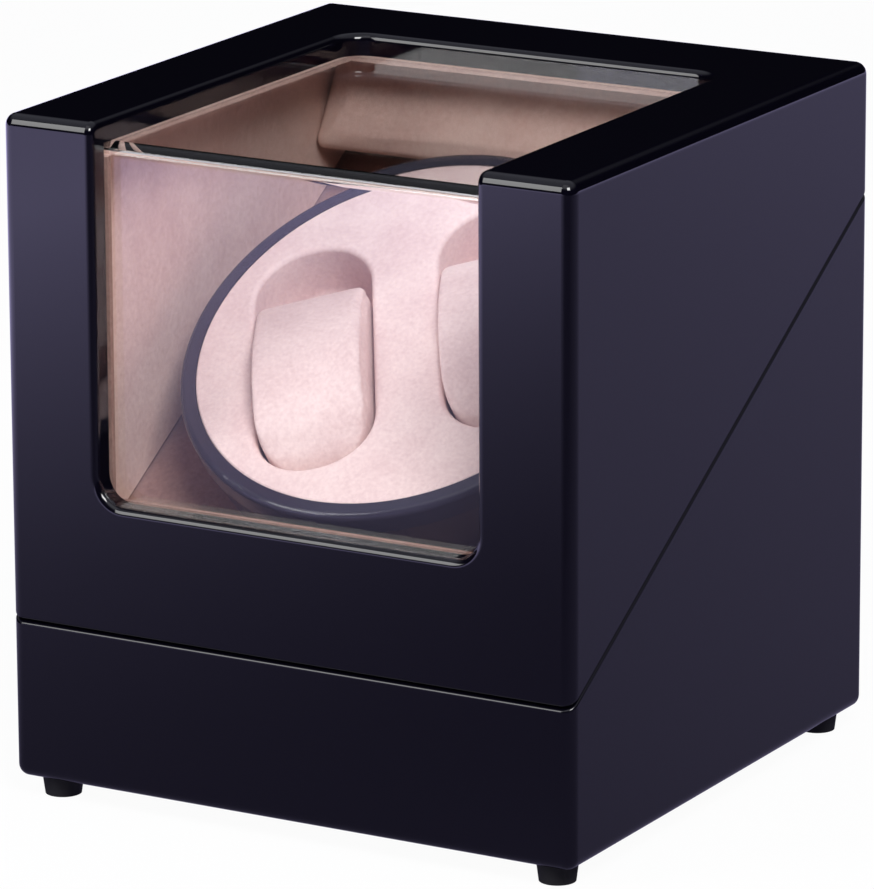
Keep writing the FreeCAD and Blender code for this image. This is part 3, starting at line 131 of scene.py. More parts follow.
class WinderSizes(bpy.types.PropertyGroup):
    """Sizes of the soft and turned pieces that the frame only stands in for."""

    rotor_y: length("Turntable y", "Middle of the turntable's face, front to back", -22.370)
    rotor_z: length("Turntable z", "Height of the middle of the turntable's face", 130.696)
    rotor_tilt: angle("Turntable tilt", "Lean of the face from level", 34.98)
    rotor_turn: angle("Turntable turn", "Where the turntable has stopped", 26.5)
    face_radius: length("Face radius", "Radius of the flocked face", 62.3)
    face_edge: length("Face edge", "Rounding where the face meets the rim", 0.8)
    face_sheet: length("Face sheet", "Thickness of the formed face", 1.6)
    well_offset: length("Well offset", "Middle of a well from the spindle", 27.3)
    well_width: length("Well width", "Width of a watch well", 34.6)
    well_length: length("Well length", "Length of a watch well", 85.0)
    well_corner: length("Well corner", "Corner radius of a watch well", 16.5)
    well_depth: length("Well depth", "Depth of a watch well", 20.0)
    well_lip: length("Well lip", "Soft rounding of the well's edge", 1.7)
    well_foot: length("Well foot", "Rounding where the wall meets the well's floor", 4.0)
    pillow_width: length("Pillow width", "Width of a watch pillow before it is filled", 32.3)
    pillow_shift: length("Pillow shift", "Middle of a pillow from the middle of its well, across", -0.3)
    pillow_low: length("Pillow low end", "End of a pillow that fills the round end of its well", -41.0)
    pillow_high: length("Pillow high end", "Straight end of a pillow", 24.0)
    pillow_base: length("Pillow base", "Underside of a pillow, from the face", -19.3)
    pillow_arch: length("Pillow arch", "How far the middle of a pillow stands above its ends", 7.8)
    pillow_corner: length("Pillow corner", "Corner radius of a pillow's round end", 15.3)
    pillow_end: length("Pillow end", "Corner radius of a pillow's straight end", 3.0)
    pillow_edge: length("Pillow edge", "Rounding along a pillow's top edges", 1.3)
    pillow_roll: length("Pillow roll", "Rounding over a pillow's round end", 18.0)
    pillow_foot: length("Pillow foot", "Rounding along a pillow's underside", 3.0)
    seam_drop: length("Seam drop", "Height of the pillow's top edge above its seam", 2.6)
    seam_width: length("Seam width", "Half width of the pillow's sewn seam", 0.7)
    seam_depth: length("Seam depth", "How far the sewn seam pulls in", 0.55)
    pad_half: length("Panel half width", "Half the width of the padded back panel before it is filled", 76.5)
    pad_back: length("Panel back", "Back of the padded panel", 74.6)
    pad_foot: length("Panel foot", "Lower edge of the padded panel", 158.1)
    pad_head: length("Panel head", "Upper edge of the padded panel", 186.4)
    pad_low: length("Panel depth low", "Depth of the padded panel at its lower edge", 22.0)
    pad_top: length("Panel depth high", "Depth of the padded panel at its upper edge", 6.3)
    pad_round: length("Panel rounding", "Rounding round the front of the padded panel", 2.6)
    cloth_mesh: length("Cloth mesh", "Spacing of the cloth's points while it is filled", 1.2)
    cloth_rise: length("Cloth rise", "How far filling may lift the middle of a cover", 0.9)
    cloth_side: length("Cloth side", "How far filling may push out the side of a cover", 0.35)


class WinderColours(bpy.types.PropertyGroup):
    """Colours of the finishes."""

    lacquer: colour("Lacquer", "Blue-black piano lacquer", "#05040c")
    lining: colour("Lining", "Beige microsuede of the lid's inside", "#e6c8ba")
    lining_shade: colour("Lining shade", "The same suede with its nap brushed away", "#d3aea1")
    # Deck colours: the lining's suede darkened to paint the shade that the deck and the window's frame lie
    # in.
    deck: colour("Deck", "Taupe microsuede of the deck and the window's frame", "#a58479")
    deck_shade: colour("Deck shade", "The same suede with its nap brushed away", "#8d6d63")
    face: colour("Face", "Pale rose flock of the turntable", "#f2dbd4")
    face_shade: colour("Face shade", "The same flock in shade", "#dfc2be")
    pillow: colour("Pillow", "Pale rose suede of the pillows", "#f0d9d2")
    pillow_shade: colour("Pillow shade", "The same suede with its nap brushed away", "#dcbfba")
    drum: colour("Drum", "Slate black moulded plastic", "#2c2a37")
    rubber: colour("Rubber", "Black rubber of the feet", "#141318")
    brass: colour("Brass", "Plated brass of the hinges", "#d9b46a")
    steel: colour("Steel", "Zinc plated steel", "#c4c6cb")
    panel: colour("Panel", "Black moulded control panel", "#1b1b20")


def add(tree, kind, sockets=None, links=None, **settings):
    """Adds a node with its settings, its socket values and the outputs it is fed from."""
    node = tree.nodes.new(kind)
    for name, value in settings.items():
        setattr(node, name, value)
    for name, value in (sockets or {}).items():
        node.inputs[name].default_value = value
    for name, source in (links or {}).items():
        tree.links.new(node.inputs[name], source)
    return node


def blank(name):
    """New material with a Principled shader and the piece's own coordinates."""
    material = bpy.data.materials.new(name)
    material.use_nodes = True
    tree = material.node_tree
    tree.nodes.clear()
    shader = add(tree, "ShaderNodeBsdfPrincipled")
    add(tree, "ShaderNodeOutputMaterial", links={"Surface": shader.outputs["BSDF"]})
    place = add(tree, "ShaderNodeTexCoord").outputs["Object"]
    return material, tree, shader, place


def piano_lacquer(colours):
    """Polyester lacquer sprayed on board and buffed: blue-black under a mirror with faint orange peel."""
    material, tree, shader, place = blank("piano_lacquer")
    peel = add(tree, "ShaderNodeTexNoise", {"Scale": per_mm(5), "Detail": 1.0}, {"Vector": place})
    haze = add(tree, "ShaderNodeTexNoise", {"Scale": per_mm(22), "Detail": 3.0}, {"Vector": place})
    rub = add(
        tree, "ShaderNodeMapRange", {"To Min": 0.035, "To Max": 0.075}, {"Value": haze.outputs["Fac"]}
    )
    bump = add(
        tree, "ShaderNodeBump", {"Strength": 0.03, "Distance": 0.05 * MM}, {"Height": peel.outputs["Fac"]}
    )
    shader.inputs["Base Color"].default_value = colours.lacquer
    shader.inputs["IOR"].default_value = 1.5
    tree.links.new(shader.inputs["Roughness"], rub.outputs["Result"])
    tree.links.new(shader.inputs["Normal"], bump.outputs["Normal"])
    return material


def suede(name, bright, dark, nap, relief, sheen):
    """Brushed microfibre: one colour whose nap catches light two ways, in soft patches over a fibre grain."""
    material, tree, shader, place = blank(name)
    # Real fibres are about 0.1 mm apart, too fine to show, so the grain is drawn at nap millimetres.
    patch = add(tree, "ShaderNodeTexNoise", {"Scale": per_mm(17), "Detail": 4.0}, {"Vector": place})
    fibre = add(
        tree, "ShaderNodeTexNoise", {"Scale": per_mm(nap), "Detail": 4.0, "Roughness": 0.7}, {"Vector": place}
    )
    share = add(
        tree,
        "ShaderNodeMath",
        {1: 1.3},
        {0: fibre.outputs["Fac"], 2: patch.outputs["Fac"]},
        operation="MULTIPLY_ADD",
    )
    spread = add(
        tree, "ShaderNodeMapRange", {"From Min": 0.85, "From Max": 1.45}, {"Value": share.outputs["Value"]}
    )
    tone = add(
        tree,
        "ShaderNodeMix",
        {6: dark, 7: bright},
        {0: spread.outputs["Result"]},
        data_type="RGBA",
    )
    bump = add(
        tree, "ShaderNodeBump", {"Strength": relief, "Distance": 0.2 * MM}, {"Height": fibre.outputs["Fac"]}
    )
    tree.links.new(shader.inputs["Base Color"], tone.outputs[2])
    tree.links.new(shader.inputs["Normal"], bump.outputs["Normal"])
    shader.inputs["Roughness"].default_value = 0.95
    shader.inputs["Specular IOR Level"].default_value = 0.15
    shader.inputs["Sheen Weight"].default_value = sheen
    shader.inputs["Sheen Roughness"].default_value = 0.45
    shader.inputs["Sheen Tint"].default_value = bright
    return material


def moulded(name, tint, rough, grain, relief):
    """Injection-moulded plastic: one colour with a fine spark-eroded grain and a little scuffing."""
    material, tree, shader, place = blank(name)
    pits = add(tree, "ShaderNodeTexNoise", {"Scale": per_mm(grain), "Detail": 3.0}, {"Vector": place})
    scuff = add(tree, "ShaderNodeTexNoise", {"Scale": per_mm(11), "Detail": 5.0}, {"Vector": place})
    worn = add(
        tree,
        "ShaderNodeMapRange",
        {"To Min": rough * 0.75, "To Max": rough * 1.3},
        {"Value": scuff.outputs["Fac"]},
    )
    bump = add(
        tree, "ShaderNodeBump", {"Strength": relief, "Distance": 0.06 * MM}, {"Height": pits.outputs["Fac"]}
    )
    shader.inputs["Base Color"].default_value = tint
    shader.inputs["IOR"].default_value = 1.5
    tree.links.new(shader.inputs["Roughness"], worn.outputs["Result"])
    tree.links.new(shader.inputs["Normal"], bump.outputs["Normal"])
    return material


def plated(name, tint, rough, stroke):
    """Drawn and plated metal: bright, with fine strokes along its length and soft tarnish."""
    material, tree, shader, place = blank(name)
    stretched = add(tree, "ShaderNodeMapping", {"Scale": (0.08, 1.0, 1.0)}, {"Vector": place})
    lines = add(
        tree,
        "ShaderNodeTexNoise",
        {"Scale": per_mm(stroke), "Detail": 2.0},
        {"Vector": stretched.outputs["Vector"]},
    )
    cloud = add(tree, "ShaderNodeTexNoise", {"Scale": per_mm(6), "Detail": 3.0}, {"Vector": place})
    dulled = tuple(channel * 0.9 for channel in tint[:3]) + (1.0,)
    tone = add(tree, "ShaderNodeMix", {6: dulled, 7: tint}, {0: cloud.outputs["Fac"]}, data_type="RGBA")
    worn = add(
        tree,
        "ShaderNodeMapRange",
        {"To Min": rough * 0.9, "To Max": rough * 1.15},
        {"Value": lines.outputs["Fac"]},
    )
    tree.links.new(shader.inputs["Base Color"], tone.outputs[2])
    tree.links.new(shader.inputs["Roughness"], worn.outputs["Result"])
    shader.inputs["Metallic"].default_value = 1.0
    return material


def clear_acrylic():
    """Cast acrylic sheet, heat bent: colourless and clear, with a mirror skin. Lamps shine through it."""
    material, tree, shader, place = blank("clear_acrylic")
    wipe = add(tree, "ShaderNodeTexNoise", {"Scale": per_mm(30), "Detail": 2.0}, {"Vector": place})
    film = add(tree, "ShaderNodeMapRange", {"To Min": 0.0, "To Max": 0.02}, {"Value": wipe.outputs["Fac"]})
    tree.links.new(shader.inputs["Roughness"], film.outputs["Result"])
    shader.inputs["Base Color"].default_value = linear("#fbfbfd")
    shader.inputs["IOR"].default_value = 1.49
    shader.inputs["Transmission Weight"].default_value = 1.0
    path = add(tree, "ShaderNodeLightPath")
    lamp_ray = add(
        tree,
        "ShaderNodeMath",
        links={0: path.outputs["Is Shadow Ray"], 1: path.outputs["Is Diffuse Ray"]},
        operation="MAXIMUM",
    )
    through = add(tree, "ShaderNodeBsdfTransparent", {"Color": linear("#fdfdfe")})
    mixed = add(
        tree,
        "ShaderNodeMixShader",
        links={0: lamp_ray.outputs["Value"], 1: shader.outputs["BSDF"], 2: through.outputs["BSDF"]},
    )
    output = next(node for node in tree.nodes if node.type == "OUTPUT_MATERIAL")
    tree.links.new(output.inputs["Surface"], mixed.outputs["Shader"])
    return material


def paint(material, *names):
    """Gives CAD nodes one finish."""
    for name in names:
        mesh = NODES[name].data
        mesh.materials.clear()
        mesh.materials.append(material)


def place_piece(name, mesh, material, body, replaced):
    """Puts a finished mesh in the scene, on its body, in place of CAD nodes."""
    piece = bpy.data.objects.new(name, mesh)
    bpy.context.scene.collection.objects.link(piece)
    mesh.materials.clear()
    mesh.materials.append(material)
    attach(piece, body)
    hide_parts(*replaced)
    return piece


def face_frame(sizes):
    """Frame of the turntable's face, turned as it has stopped."""
    spot = Matrix.Translation((0, sizes.rotor_y, sizes.rotor_z))
    return spot @ Matrix.Rotation(sizes.rotor_tilt, 4, "X") @ Matrix.Rotation(sizes.rotor_turn, 4, "Z")


def outline(corners, radii, steps):
    """Points round a convex outline with rounded corners, the same count for any size."""
    points = []
    for index, (x, y) in enumerate(corners):
        corner = Vector((x, y))
        before = (Vector(corners[index - 1]) - corner).normalized()
        after = (Vector(corners[(index + 1) % len(corners)]) - corner).normalized()
        half = before.angle(after) / 2
        reach = radii[index] / math.tan(half)
        centre = corner + (before + after).normalized() * radii[index] / math.sin(half)
        first = (corner + before * reach - centre).normalized()
        last = (corner + after * reach - centre).normalized()
        points += [centre + radii[index] * first.slerp(last, step / steps) for step in range(steps + 1)]
    return points


def add_loop(net, points, height):
    """Vertices of one closed loop at a height."""
    return [net.verts.new((x, y, height)) for x, y in points]


def join_loops(net, first, second):
    """Band of faces between two loops of the same count."""
    for index in range(len(first)):
        following = (index + 1) % len(first)
        net.faces.new((first[index], first[following], second[following], second[index]))


def loft(sections):
    """Closed net through sections of the same count."""
    net = bmesh.new()
    loops = [[net.verts.new(point) for point in section] for section in sections]
    for first, second in zip(loops, loops[1:]):
        join_loops(net, first, second)
    net.faces.new(loops[0])
    net.faces.new(loops[-1])
    bmesh.ops.recalc_face_normals(net, faces=net.faces)
    return net


def applied(holder):
    """Mesh of an object with its modifiers applied."""
    graph = bpy.context.evaluated_depsgraph_get()
    return bpy.data.meshes.new_from_object(holder.evaluated_get(graph))


def filled(net, name, sizes, broad):
    """Cover cut from a net, simulated as cloth over its filling, which lifts the broad side most."""
    scene = bpy.context.scene
    cut = bpy.data.meshes.new(name)
    net.to_mesh(cut)
    net.free()
    holder = bpy.data.objects.new(name + "_cloth", cut)
    scene.collection.objects.link(holder)
    even = holder.modifiers.new("even", "REMESH")
    even.mode = "VOXEL"
    even.voxel_size = sizes.cloth_mesh
    mesh = applied(holder)
    holder.modifiers.clear()
    holder.data = mesh
    cloth = holder.modifiers.new("cloth", "CLOTH")
    cloth.settings.mass = CLOTH_MASS
    cloth.settings.use_pressure = True
    cloth.settings.uniform_pressure_force = CLOTH_PRESSURE
    cloth.settings.effector_weights.gravity = 0
    for moment in range(1, CLOTH_FRAMES + 1):
        scene.frame_set(moment)
    swollen = applied(holder)
    holder.modifiers.clear()
    moves = []
    for start, end in zip(mesh.vertices, swollen.vertices):
        share = max(0, start.normal.dot(broad)) ** 4
        cap = sizes.cloth_side + (sizes.cloth_rise - sizes.cloth_side) * share
        move = end.co - start.co
        if move.length > cap:
            move *= cap / move.length
        moves.append(move)
    for vertex, move in zip(mesh.vertices, moves):
        vertex.co += move
    bpy.data.meshes.remove(swollen)
    scene.frame_set(1)
    bpy.data.objects.remove(holder)
    bpy.data.meshes.remove(cut)
    mesh.polygons.foreach_set("use_smooth", [True] * len(mesh.polygons))
    return mesh


class WINDER_OT_case(bpy.types.Operator):
    """Lacquers the base and lid and paints the board inside"""

    bl_idname = "winder.case"
    bl_label = "Case"

    def execute(self, context):
        colours = context.scene.winder_colours
        paint(piano_lacquer(colours), "base_carcass", "lid_shell")
        board = suede("black_flock_paper", linear("#1c1b20"), linear("#121116"), 0.9, 0.3, 0.1)
        paint(board, "bottom_board", "deck_board")
        paint(moulded("foot_rubber", colours.rubber, 0.7, 0.8, 0.4), "feet", "lid_bumpers")
        return {"FINISHED"}


class WINDER_OT_linings(bpy.types.Operator):
    """Covers the lid's linings and the deck with suede, the deck and the window's frame darker as painted
    shade
    """

    bl_idname = "winder.linings"
    bl_label = "Linings"

    def execute(self, context):
        sizes = context.scene.winder_sizes
        colours = context.scene.winder_colours
        cloth = suede("lining_microsuede", colours.lining, colours.lining_shade, 1.5, 0.6, 0.25)
        paint(cloth, "top_lining", "left_lining", "right_lining")
        # Darker suede that paints the shade on the deck and on the strip round the window.
        painted_shade_suede = suede("deck_microsuede_painted_shade", colours.deck, colours.deck_shade, 1.5, 0.6, 0.15)
        paint(painted_shade_suede, "front_lining", "deck_skin")
        mesh = filled(self.panel(sizes), "back_panel", sizes, Vector((0, -1, 0)))
        piece = place_piece("back_panel", mesh, cloth, "lid", ["back_lining"])
        piece.modifiers.new("cover", "SUBSURF").levels = 1
        return {"FINISHED"}

    def panel(self, sizes):
        """Wedge of foam that is fuller towards its lower edge, with a rounded front."""
        sections = []
        for step in range(PANEL_STEPS + 1):
            across = -sizes.pad_half * math.cos(math.pi * step / PANEL_STEPS)
            end = max(0, abs(across) - sizes.pad_half + sizes.pad_round)
            lost = sizes.pad_round - math.sqrt(max(0, sizes.pad_round**2 - end**2))
            corners = [
                (sizes.pad_back, sizes.pad_foot),
                (sizes.pad_back, sizes.pad_head),
                (sizes.pad_back - sizes.pad_top + lost, sizes.pad_head),
                (sizes.pad_back - sizes.pad_low + lost, sizes.pad_foot),
            ]
            radii = [PANEL_BACK_CORNER, PANEL_BACK_CORNER, PANEL_HEAD_CORNER, sizes.pad_round]
            sections.append([(across, y, z) for y, z in outline(corners, radii, PANEL_CORNER_STEPS)])
        return loft(sections)


class WINDER_OT_window(bpy.types.Operator):
    """Makes the bent window pane clear"""

    bl_idname = "winder.window"
    bl_label = "Window"

    def execute(self, context):
        paint(clear_acrylic(), "window_pane")
        return {"FINISHED"}


class WINDER_OT_turntable(bpy.types.Operator):
    """Builds the flocked face with its two wells and finishes the drum"""

    bl_idname = "winder.turntable"
    bl_label = "Turntable"

    def execute(self, context):
        sizes = context.scene.winder_sizes
        colours = context.scene.winder_colours
        net = bmesh.new()
        quarter = [math.pi / 2 * step / QUARTER_STEPS for step in range(QUARTER_STEPS + 1)]
        rounds = [2 * math.pi * step / FACE_STEPS for step in range(FACE_STEPS)]
        rim = []
        for bend in quarter:
            radius = sizes.face_radius - sizes.face_edge * (1 - math.sin(bend))
            drop = -sizes.face_edge * (1 - math.cos(bend))
            rim.append(add_loop(net, [(radius * math.cos(a), radius * math.sin(a)) for a in rounds], drop))
        for outer, inner in zip(rim, rim[1:]):
            join_loops(net, outer, inner)
        borders = [rim[0]]
        for side in (-1, 1):
            profile = []
            for bend in quarter:
                grow = sizes.well_lip * (1 - math.sin(bend))
                profile.append((grow, -sizes.well_lip * (1 - math.cos(bend))))
            for bend in quarter:
                grow = -sizes.well_foot * (1 - math.cos(bend))
                profile.append((grow, -sizes.well_depth + sizes.well_foot * (1 - math.sin(bend))))
            loops = []
            for grow, height in profile:
                wide = sizes.well_width / 2 + grow
                long = sizes.well_length / 2 + grow
                middle = side * sizes.well_offset
                corners = [
                    (middle + wide, long),
                    (middle - wide, long),
                    (middle - wide, -long),
                    (middle + wide, -long),
                ]
                ring = outline(corners, [sizes.well_corner + grow] * 4, WELL_CORNER_STEPS)
                loops.append(add_loop(net, ring, height))
            for upper, lower in zip(loops, loops[1:]):
                join_loops(net, upper, lower)
            net.faces.new(loops[-1])
            borders.append(loops[0])
        edges = []
        for border in borders:
            for index, corner in enumerate(border):
                edges.append(net.edges.get((corner, border[(index + 1) % len(border)])))
        for index, edge in enumerate(edges):
            if edge is None:
                raise RuntimeError(f"face border edge {index} is missing")
        bmesh.ops.triangle_fill(net, use_beauty=True, use_dissolve=False, edges=edges)
        bmesh.ops.recalc_face_normals(net, faces=net.faces)
        if sum(face.normal.z * face.calc_area() for face in net.faces) < 0:
            bmesh.ops.reverse_faces(net, faces=net.faces)
        for face in net.faces:
            face.smooth = True
        mesh = bpy.data.meshes.new("turntable_face")
        net.to_mesh(mesh)
        net.free()
        mesh.transform(face_frame(sizes))
        flock = suede("face_flock", colours.face, colours.face_shade, 1.3, 0.5, 0.2)
        piece = place_piece("turntable_face", mesh, flock, "rotor", ["rotor_face"])
        shell = piece.modifiers.new("sheet", "SOLIDIFY")
        shell.thickness = sizes.face_sheet
        shell.offset = -1
        piece.modifiers.new("shading", "WEIGHTED_NORMAL")
        paint(moulded("drum_gloss_abs", colours.drum, 0.16, 1.5, 0.05), "rotor_drum")
        return {"FINISHED"}


class WINDER_OT_pillows(bpy.types.Operator):
    """Sews and fills the two watch pillows"""

    bl_idname = "winder.pillows"
    bl_label = "Pillows"

    def execute(self, context):
        sizes = context.scene.winder_sizes
        colours = context.scene.winder_colours
        cloth = suede("pillow_microsuede", colours.pillow, colours.pillow_shade, 1.3, 0.55, 0.25)
        pattern = filled(self.cuff(sizes), "pillow", sizes, Vector((0, 0, 1)))
        for vertex in pattern.vertices:
            seam = self.height(sizes, vertex.co.y) - sizes.seam_drop
            pull = math.exp(-(((vertex.co.z - seam) / sizes.seam_width) ** 2))
            vertex.co -= vertex.normal * sizes.seam_depth * pull * (1 - abs(vertex.normal.z))
        for side, word in ((-1, "left"), (1, "right")):
            mesh = pattern.copy()
            mesh.transform(face_frame(sizes) @ Matrix.Translation((side * sizes.well_offset, 0, 0)))
            piece = place_piece(
                f"watch_pillow_{word}", mesh, cloth, f"{word}_pillow", [f"pillow_{word}"]
            )
            piece.modifiers.new("cover", "SUBSURF").levels = 1
        bpy.data.meshes.remove(pattern)
        return {"FINISHED"}

    def height(self, sizes, along):
        """Top of a pillow at a place along it: arched like a wrist, level with the face at its ends."""
        middle = (sizes.pillow_low + sizes.pillow_high) / 2
        reach = (along - middle) / ((sizes.pillow_high - sizes.pillow_low) / 2)
        return sizes.pillow_arch * (1 - reach**2)

    def cuff(self, sizes):
        """Foam cuff that a watch is buckled round, cut to one end of its well."""
        sections = []
        middle = (sizes.pillow_low + sizes.pillow_high) / 2
        reach = (sizes.pillow_high - sizes.pillow_low) / 2
        for step in range(CUFF_STEPS + 1):
            along = middle - reach * math.cos(math.pi * step / CUFF_STEPS)
            wide = sizes.pillow_width / 2
            for end, corner in (
                (sizes.pillow_low + sizes.pillow_corner - along, sizes.pillow_corner),
                (along - sizes.pillow_high + sizes.pillow_end, sizes.pillow_end),
            ):
                if end > 0:
                    wide -= corner - math.sqrt(max(0, corner**2 - end**2))
            top = self.height(sizes, along)
            for end, curve in (
                (along - sizes.pillow_low, sizes.pillow_roll),
                (sizes.pillow_high - along, sizes.pillow_edge),
            ):
                if end < curve:
                    top -= curve - math.sqrt(max(0, curve**2 - (curve - end) ** 2))
            left = sizes.pillow_shift - wide
            right = sizes.pillow_shift + wide
            corners = [(left, sizes.pillow_base), (right, sizes.pillow_base), (right, top), (left, top)]
            radii = [sizes.pillow_foot] * 2 + [sizes.pillow_edge] * 2
            sections.append([(x, along, z) for x, z in outline(corners, radii, CUFF_CORNER_STEPS)])
        return loft(sections)


class WINDER_OT_fittings(bpy.types.Operator):
    """Finishes the hinges, screws and drive"""

    bl_idname = "winder.fittings"
    bl_label = "Hinges, screws and drive"

    def execute(self, context):
        colours = context.scene.winder_colours
        paint(plated("plated_brass", colours.brass, 0.25, 0.5), "hinge_base_leaves", "hinge_lid_leaves")
        paint(plated("zinc_steel", colours.steel, 0.32, 0.4), *STEEL_PIECES)
        paint(plated("sintered_bronze", linear("#b8814a"), 0.4, 0.5), "spindle_bush")
        paint(moulded("natural_acetal", linear("#e9e6da"), 0.4, 0.6, 0.2), "spindle_gear", "motor_pinion")
        paint(moulded("black_nylon", linear("#1d1d20"), 0.5, 0.6, 0.3), "bearing_block")
        paint(moulded("pvc_wire", linear("#8d1f1d"), 0.4, 0.8, 0.1), "motor_lead")
        return {"FINISHED"}


class WINDER_OT_controls(bpy.types.Operator):
    """Finishes the controls in the back wall"""

    bl_idname = "winder.controls"
    bl_label = "Controls"

    def execute(self, context):
        colours = context.scene.winder_colours
        paint(moulded("panel_abs", colours.panel, 0.45, 0.5, 0.35), "control_panel")
        nylon = moulded("switch_nylon", linear("#0f0f12"), 0.4, 0.6, 0.2)
        paint(nylon, "mode_switch", "power_switch", "power_inlet")
        paint(moulded("control_abs", linear("#55555e"), 0.4, 0.6, 0.2), "mode_knob", "power_button")
        paint(moulded("circuit_board_resist", linear("#1d5a35"), 0.3, 0.9, 0.2), "control_board")
        return {"FINISHED"}


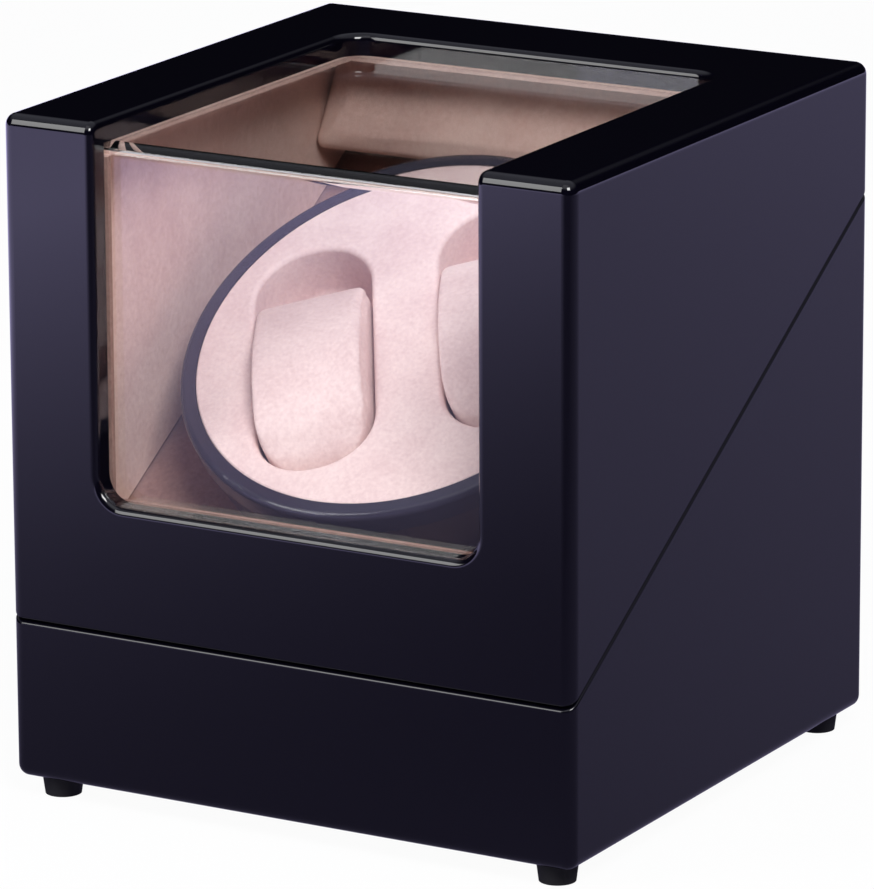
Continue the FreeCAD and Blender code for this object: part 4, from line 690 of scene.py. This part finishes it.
class WINDER_OT_stage(bpy.types.Operator):
    """Sets the floor, lamps, surroundings and camera"""

    bl_idname = "winder.stage"
    bl_label = "Stage"

    def execute(self, context):
        scene = context.scene
        scene.view_settings.view_transform = "Standard"
        self.lay_floor(scene)
        self.hang_sky(scene)
        for softbox in SOFTBOXES:
            self.lamp(scene, *softbox)
        self.aim_camera(scene)
        return {"FINISHED"}

    def lay_floor(self, scene):
        """White floor: full white to the eye and in glass, and shadowed; to gloss it glows with painted pools
        of light and a painted shade near the box.
        """
        net = bmesh.new()
        bmesh.ops.create_grid(net, x_segments=1, y_segments=1, size=FLOOR_HALF)
        mesh = bpy.data.meshes.new("floor")
        net.to_mesh(mesh)
        net.free()
        floor = bpy.data.objects.new("floor", mesh)
        scene.collection.objects.link(floor)
        material, tree, shader, place = blank("studio_floor")
        shader.inputs["Base Color"].default_value = linear("#e9e9ee")
        shader.inputs["Roughness"].default_value = 0.9
        # Painted light: the glow that gloss sees grows in pools away from the box and stays dark beside it as
        # painted shade.
        pools = []
        for direction, start, power, gain in FLOOR_PAINTED_LIGHT_POOLS:
            value = add(tree, "ShaderNodeVectorMath", {1: direction}, {0: place}, operation="DOT_PRODUCT")
            for second, step in ((start, "ADD"), (0.0, "MAXIMUM"), (power, "POWER"), (gain, "MULTIPLY")):
                value = add(tree, "ShaderNodeMath", {1: second}, {0: value.outputs["Value"]}, operation=step)
            pools.append(value.outputs["Value"])
        both = add(tree, "ShaderNodeMath", links={0: pools[0], 1: pools[1]}, operation="ADD")
        near = add(tree, "ShaderNodeMath", {1: FLOOR_PAINTED_SHADE_NEAR}, {0: both.outputs["Value"]}, operation="ADD")
        capped = add(tree, "ShaderNodeMath", {1: FLOOR_PAINTED_GLOW_CAP}, {0: near.outputs["Value"]}, operation="MINIMUM")
        path = add(tree, "ShaderNodeLightPath")
        # Blue-violet painted reflection: the glow that gloss sees on the floor, which lacquer and metal
        # mirror.
        gloss = add(
            tree, "ShaderNodeEmission", {"Color": linear("#d2c9ff")}, {"Strength": capped.outputs["Value"]}
        )
        white = add(tree, "ShaderNodeEmission", {"Strength": 1.0})
        faint = add(
            tree,
            "ShaderNodeMixShader",
            {0: FLOOR_WHITE},
            {1: shader.outputs["BSDF"], 2: white.outputs["Emission"]},
        )
        seen = add(
            tree,
            "ShaderNodeMath",
            links={0: path.outputs["Is Camera Ray"], 1: path.outputs["Is Transmission Ray"]},
            operation="MAXIMUM",
        )
        shown = add(
            tree,
            "ShaderNodeMixShader",
            links={0: seen.outputs["Value"], 1: shader.outputs["BSDF"], 2: faint.outputs["Shader"]},
        )
        mirrored = add(
            tree,
            "ShaderNodeMixShader",
            links={0: path.outputs["Glossy Depth"], 1: shown.outputs["Shader"], 2: gloss.outputs["Emission"]},
        )
        output = next(node for node in tree.nodes if node.type == "OUTPUT_MATERIAL")
        tree.links.new(output.inputs["Surface"], mirrored.outputs["Shader"])
        mesh.materials.append(material)

    def hang_sky(self, scene):
        """Soft light from above, with a dark band round the horizon."""
        world = bpy.data.worlds.new("studio")
        scene.world = world
        world.use_nodes = True
        tree = world.node_tree
        tree.nodes.clear()
        place = add(tree, "ShaderNodeTexCoord").outputs["Generated"]
        parts = add(tree, "ShaderNodeSeparateXYZ", links={"Vector": place})
        height = add(
            tree,
            "ShaderNodeMapRange",
            {"From Min": 0.42, "From Max": 0.85, "To Min": 0.004, "To Max": 0.55},
            {"Value": parts.outputs["Z"]},
            interpolation_type="SMOOTHSTEP",
        )
        glow = add(
            tree, "ShaderNodeBackground", {"Color": linear("#eef0ff")}, {"Strength": height.outputs["Result"]}
        )
        add(tree, "ShaderNodeOutputWorld", links={"Surface": glow.outputs["Background"]})

    def lamp(self, scene, name, spot, aim, width, height, power):
        """Rectangular softbox that points at a place."""
        light = bpy.data.lights.new(name, "AREA")
        light.shape = "RECTANGLE"
        light.size = width
        light.size_y = height
        light.energy = power
        holder = bpy.data.objects.new(name, light)
        scene.collection.objects.link(holder)
        holder.location = spot
        holder.rotation_mode = "QUATERNION"
        holder.rotation_quaternion = (Vector(aim) - Vector(spot)).to_track_quat("-Z", "Y")
        holder.visible_camera = False

    def aim_camera(self, scene):
        """Long lens at the photograph's place, with its slight roll."""
        data = bpy.data.cameras.new("camera")
        data.lens = CAMERA_LENS
        data.sensor_width = CAMERA_SENSOR
        data.clip_end = 20
        camera = bpy.data.objects.new("camera", data)
        scene.collection.objects.link(camera)
        azimuth, elevation, roll = (math.radians(degrees) for degrees in CAMERA_ANGLES)
        back = Vector(
            (
                math.sin(azimuth) * math.cos(elevation),
                -math.cos(azimuth) * math.cos(elevation),
                math.sin(elevation),
            )
        )
        right = Vector((math.cos(azimuth), math.sin(azimuth), 0))
        up = back.cross(right)
        across = right * math.cos(roll) + up * math.sin(roll)
        above = up * math.cos(roll) - right * math.sin(roll)
        turn = Matrix((across, above, back)).transposed().to_4x4()
        camera.matrix_world = Matrix.Translation(CAMERA_SPOT) @ turn
        scene.camera = camera


class WINDER_PT_panel(bpy.types.Panel):
    """Lists the steps that finish the winder"""

    bl_idname = "WINDER_PT_panel"
    bl_label = "Watch Winder Box"
    bl_space_type = "VIEW_3D"
    bl_region_type = "UI"
    bl_category = "Winder"

    def draw(self, context):
        for step in STEPS:
            self.layout.operator(step.bl_idname)
        for group in (context.scene.winder_sizes, context.scene.winder_colours):
            for name in group.bl_rna.properties.keys():
                if name not in ("rna_type", "name"):
                    self.layout.prop(group, name)


STEPS = (
    WINDER_OT_case,
    WINDER_OT_linings,
    WINDER_OT_window,
    WINDER_OT_turntable,
    WINDER_OT_pillows,
    WINDER_OT_fittings,
    WINDER_OT_controls,
    WINDER_OT_stage,
)
GROUPS = (WinderSizes, WinderColours)


def register():
    for kind in (*GROUPS, *STEPS, WINDER_PT_panel):
        bpy.utils.register_class(kind)
    bpy.types.Scene.winder_sizes = PointerProperty(type=WinderSizes)
    bpy.types.Scene.winder_colours = PointerProperty(type=WinderColours)


def unregister():
    del bpy.types.Scene.winder_colours
    del bpy.types.Scene.winder_sizes
    for kind in reversed((*GROUPS, *STEPS, WINDER_PT_panel)):
        bpy.utils.unregister_class(kind)


def main():
    register()
    for step in STEPS:
        family, name = step.bl_idname.split(".")
        getattr(getattr(bpy.ops, family), name)()


if __name__ == "__main__":
    main()
